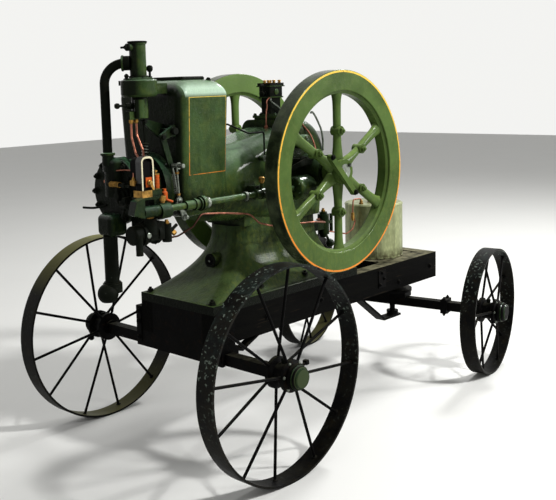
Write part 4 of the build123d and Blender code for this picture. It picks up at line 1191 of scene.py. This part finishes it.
class ENGINE_OT_finishes(bpy.types.Operator):
    """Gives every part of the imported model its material"""

    bl_idname = "engine.finishes"
    bl_label = "Paint the parts"

    def execute(self, context):
        finishes.update(make_finishes())
        slots = {part["node"]: part["material_slot"] for part in frame["record"]["subparts"]}
        for name, node in frame["nodes"].items():
            look = "tyre" if name.endswith("tyre") else LOOKS.get(name, slots[name])
            node.data.materials.clear()
            node.data.materials.append(finishes[look])
        return {"FINISHED"}


class ENGINE_OT_fasteners(bpy.types.Operator):
    """Adds the nuts, bolts and rivet heads"""

    bl_idname = "engine.fasteners"
    bl_label = "Add the fasteners"

    def execute(self, context):
        add_fasteners(context.scene.engine_fittings)
        return {"FINISHED"}


class ENGINE_OT_wheels(bpy.types.Operator):
    """Adds the fittings of the four truck wheels"""

    bl_idname = "engine.wheels"
    bl_label = "Fit the wheels"

    def execute(self, context):
        add_wheels()
        return {"FINISHED"}


class ENGINE_OT_lubricator(bpy.types.Operator):
    """Adds the lubricator's knobs, crank and pipes"""

    bl_idname = "engine.lubricator"
    bl_label = "Fit the lubricator"

    def execute(self, context):
        add_lubricator()
        return {"FINISHED"}


class ENGINE_OT_valve_gear(bpy.types.Operator):
    """Adds the pins and springs of the valve gear"""

    bl_idname = "engine.valve_gear"
    bl_label = "Fit the valve gear"

    def execute(self, context):
        add_valve_gear()
        return {"FINISHED"}


class ENGINE_OT_magneto(bpy.types.Operator):
    """Adds the magneto's fittings and the igniter beside it"""

    bl_idname = "engine.magneto"
    bl_label = "Fit the magneto"

    def execute(self, context):
        add_magneto()
        add_igniter()
        return {"FINISHED"}


class ENGINE_OT_mixer(bpy.types.Operator):
    """Adds the mixer's knobs, unions and rings"""

    bl_idname = "engine.mixer"
    bl_label = "Fit the mixer"

    def execute(self, context):
        add_mixer()
        return {"FINISHED"}


class ENGINE_OT_castings(bpy.types.Operator):
    """Adds the fittings on the hopper, the base, the crankcase, the crankshaft and the side shaft"""

    bl_idname = "engine.castings"
    bl_label = "Fit the castings"

    def execute(self, context):
        add_hopper_details()
        add_governor()
        add_crank_details()
        add_side_shaft()
        return {"FINISHED"}


class ENGINE_OT_fuel(bpy.types.Operator):
    """Adds the fittings of the tank and the pumps"""

    bl_idname = "engine.fuel"
    bl_label = "Fit the tank and pumps"

    def execute(self, context):
        add_tank()
        add_pump_details()
        return {"FINISHED"}


class ENGINE_OT_truck(bpy.types.Operator):
    """Adds the plates of the truck"""

    bl_idname = "engine.truck"
    bl_label = "Fit the truck"

    def execute(self, context):
        add_truck_plates()
        return {"FINISHED"}


class ENGINE_OT_stage(bpy.types.Operator):
    """Adds the floor, the light and the camera"""

    bl_idname = "engine.stage"
    bl_label = "Set the stage"

    def execute(self, context):
        add_stage(context.scene.engine_stage)
        add_camera()
        return {"FINISHED"}


class ENGINE_PT_sidebar(bpy.types.Panel):
    """Lists the steps that dress the engine"""

    bl_idname = "ENGINE_PT_sidebar"
    bl_label = "Engine"
    bl_space_type = "VIEW_3D"
    bl_region_type = "UI"
    bl_category = "Engine"

    def draw(self, context):
        for step in STEPS:
            self.layout.operator(step.bl_idname)


STEPS = (
    ENGINE_OT_finishes,
    ENGINE_OT_fasteners,
    ENGINE_OT_wheels,
    ENGINE_OT_lubricator,
    ENGINE_OT_valve_gear,
    ENGINE_OT_magneto,
    ENGINE_OT_mixer,
    ENGINE_OT_castings,
    ENGINE_OT_fuel,
    ENGINE_OT_truck,
    ENGINE_OT_stage,
)
CLASSES = (StageSettings, FittingSettings, *STEPS, ENGINE_PT_sidebar)


def register():
    for kind in CLASSES:
        bpy.utils.register_class(kind)
    bpy.types.Scene.engine_stage = PointerProperty(type=StageSettings)
    bpy.types.Scene.engine_fittings = PointerProperty(type=FittingSettings)


def unregister():
    del bpy.types.Scene.engine_fittings
    del bpy.types.Scene.engine_stage
    for kind in reversed(CLASSES):
        bpy.utils.unregister_class(kind)


def main():
    register()
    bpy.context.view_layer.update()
    bpy.ops.engine.finishes()
    bpy.ops.engine.fasteners()
    bpy.ops.engine.wheels()
    bpy.ops.engine.lubricator()
    bpy.ops.engine.valve_gear()
    bpy.ops.engine.magneto()
    bpy.ops.engine.mixer()
    bpy.ops.engine.castings()
    bpy.ops.engine.fuel()
    bpy.ops.engine.truck()
    bpy.ops.engine.stage()


if __name__ == "__main__":
    main()
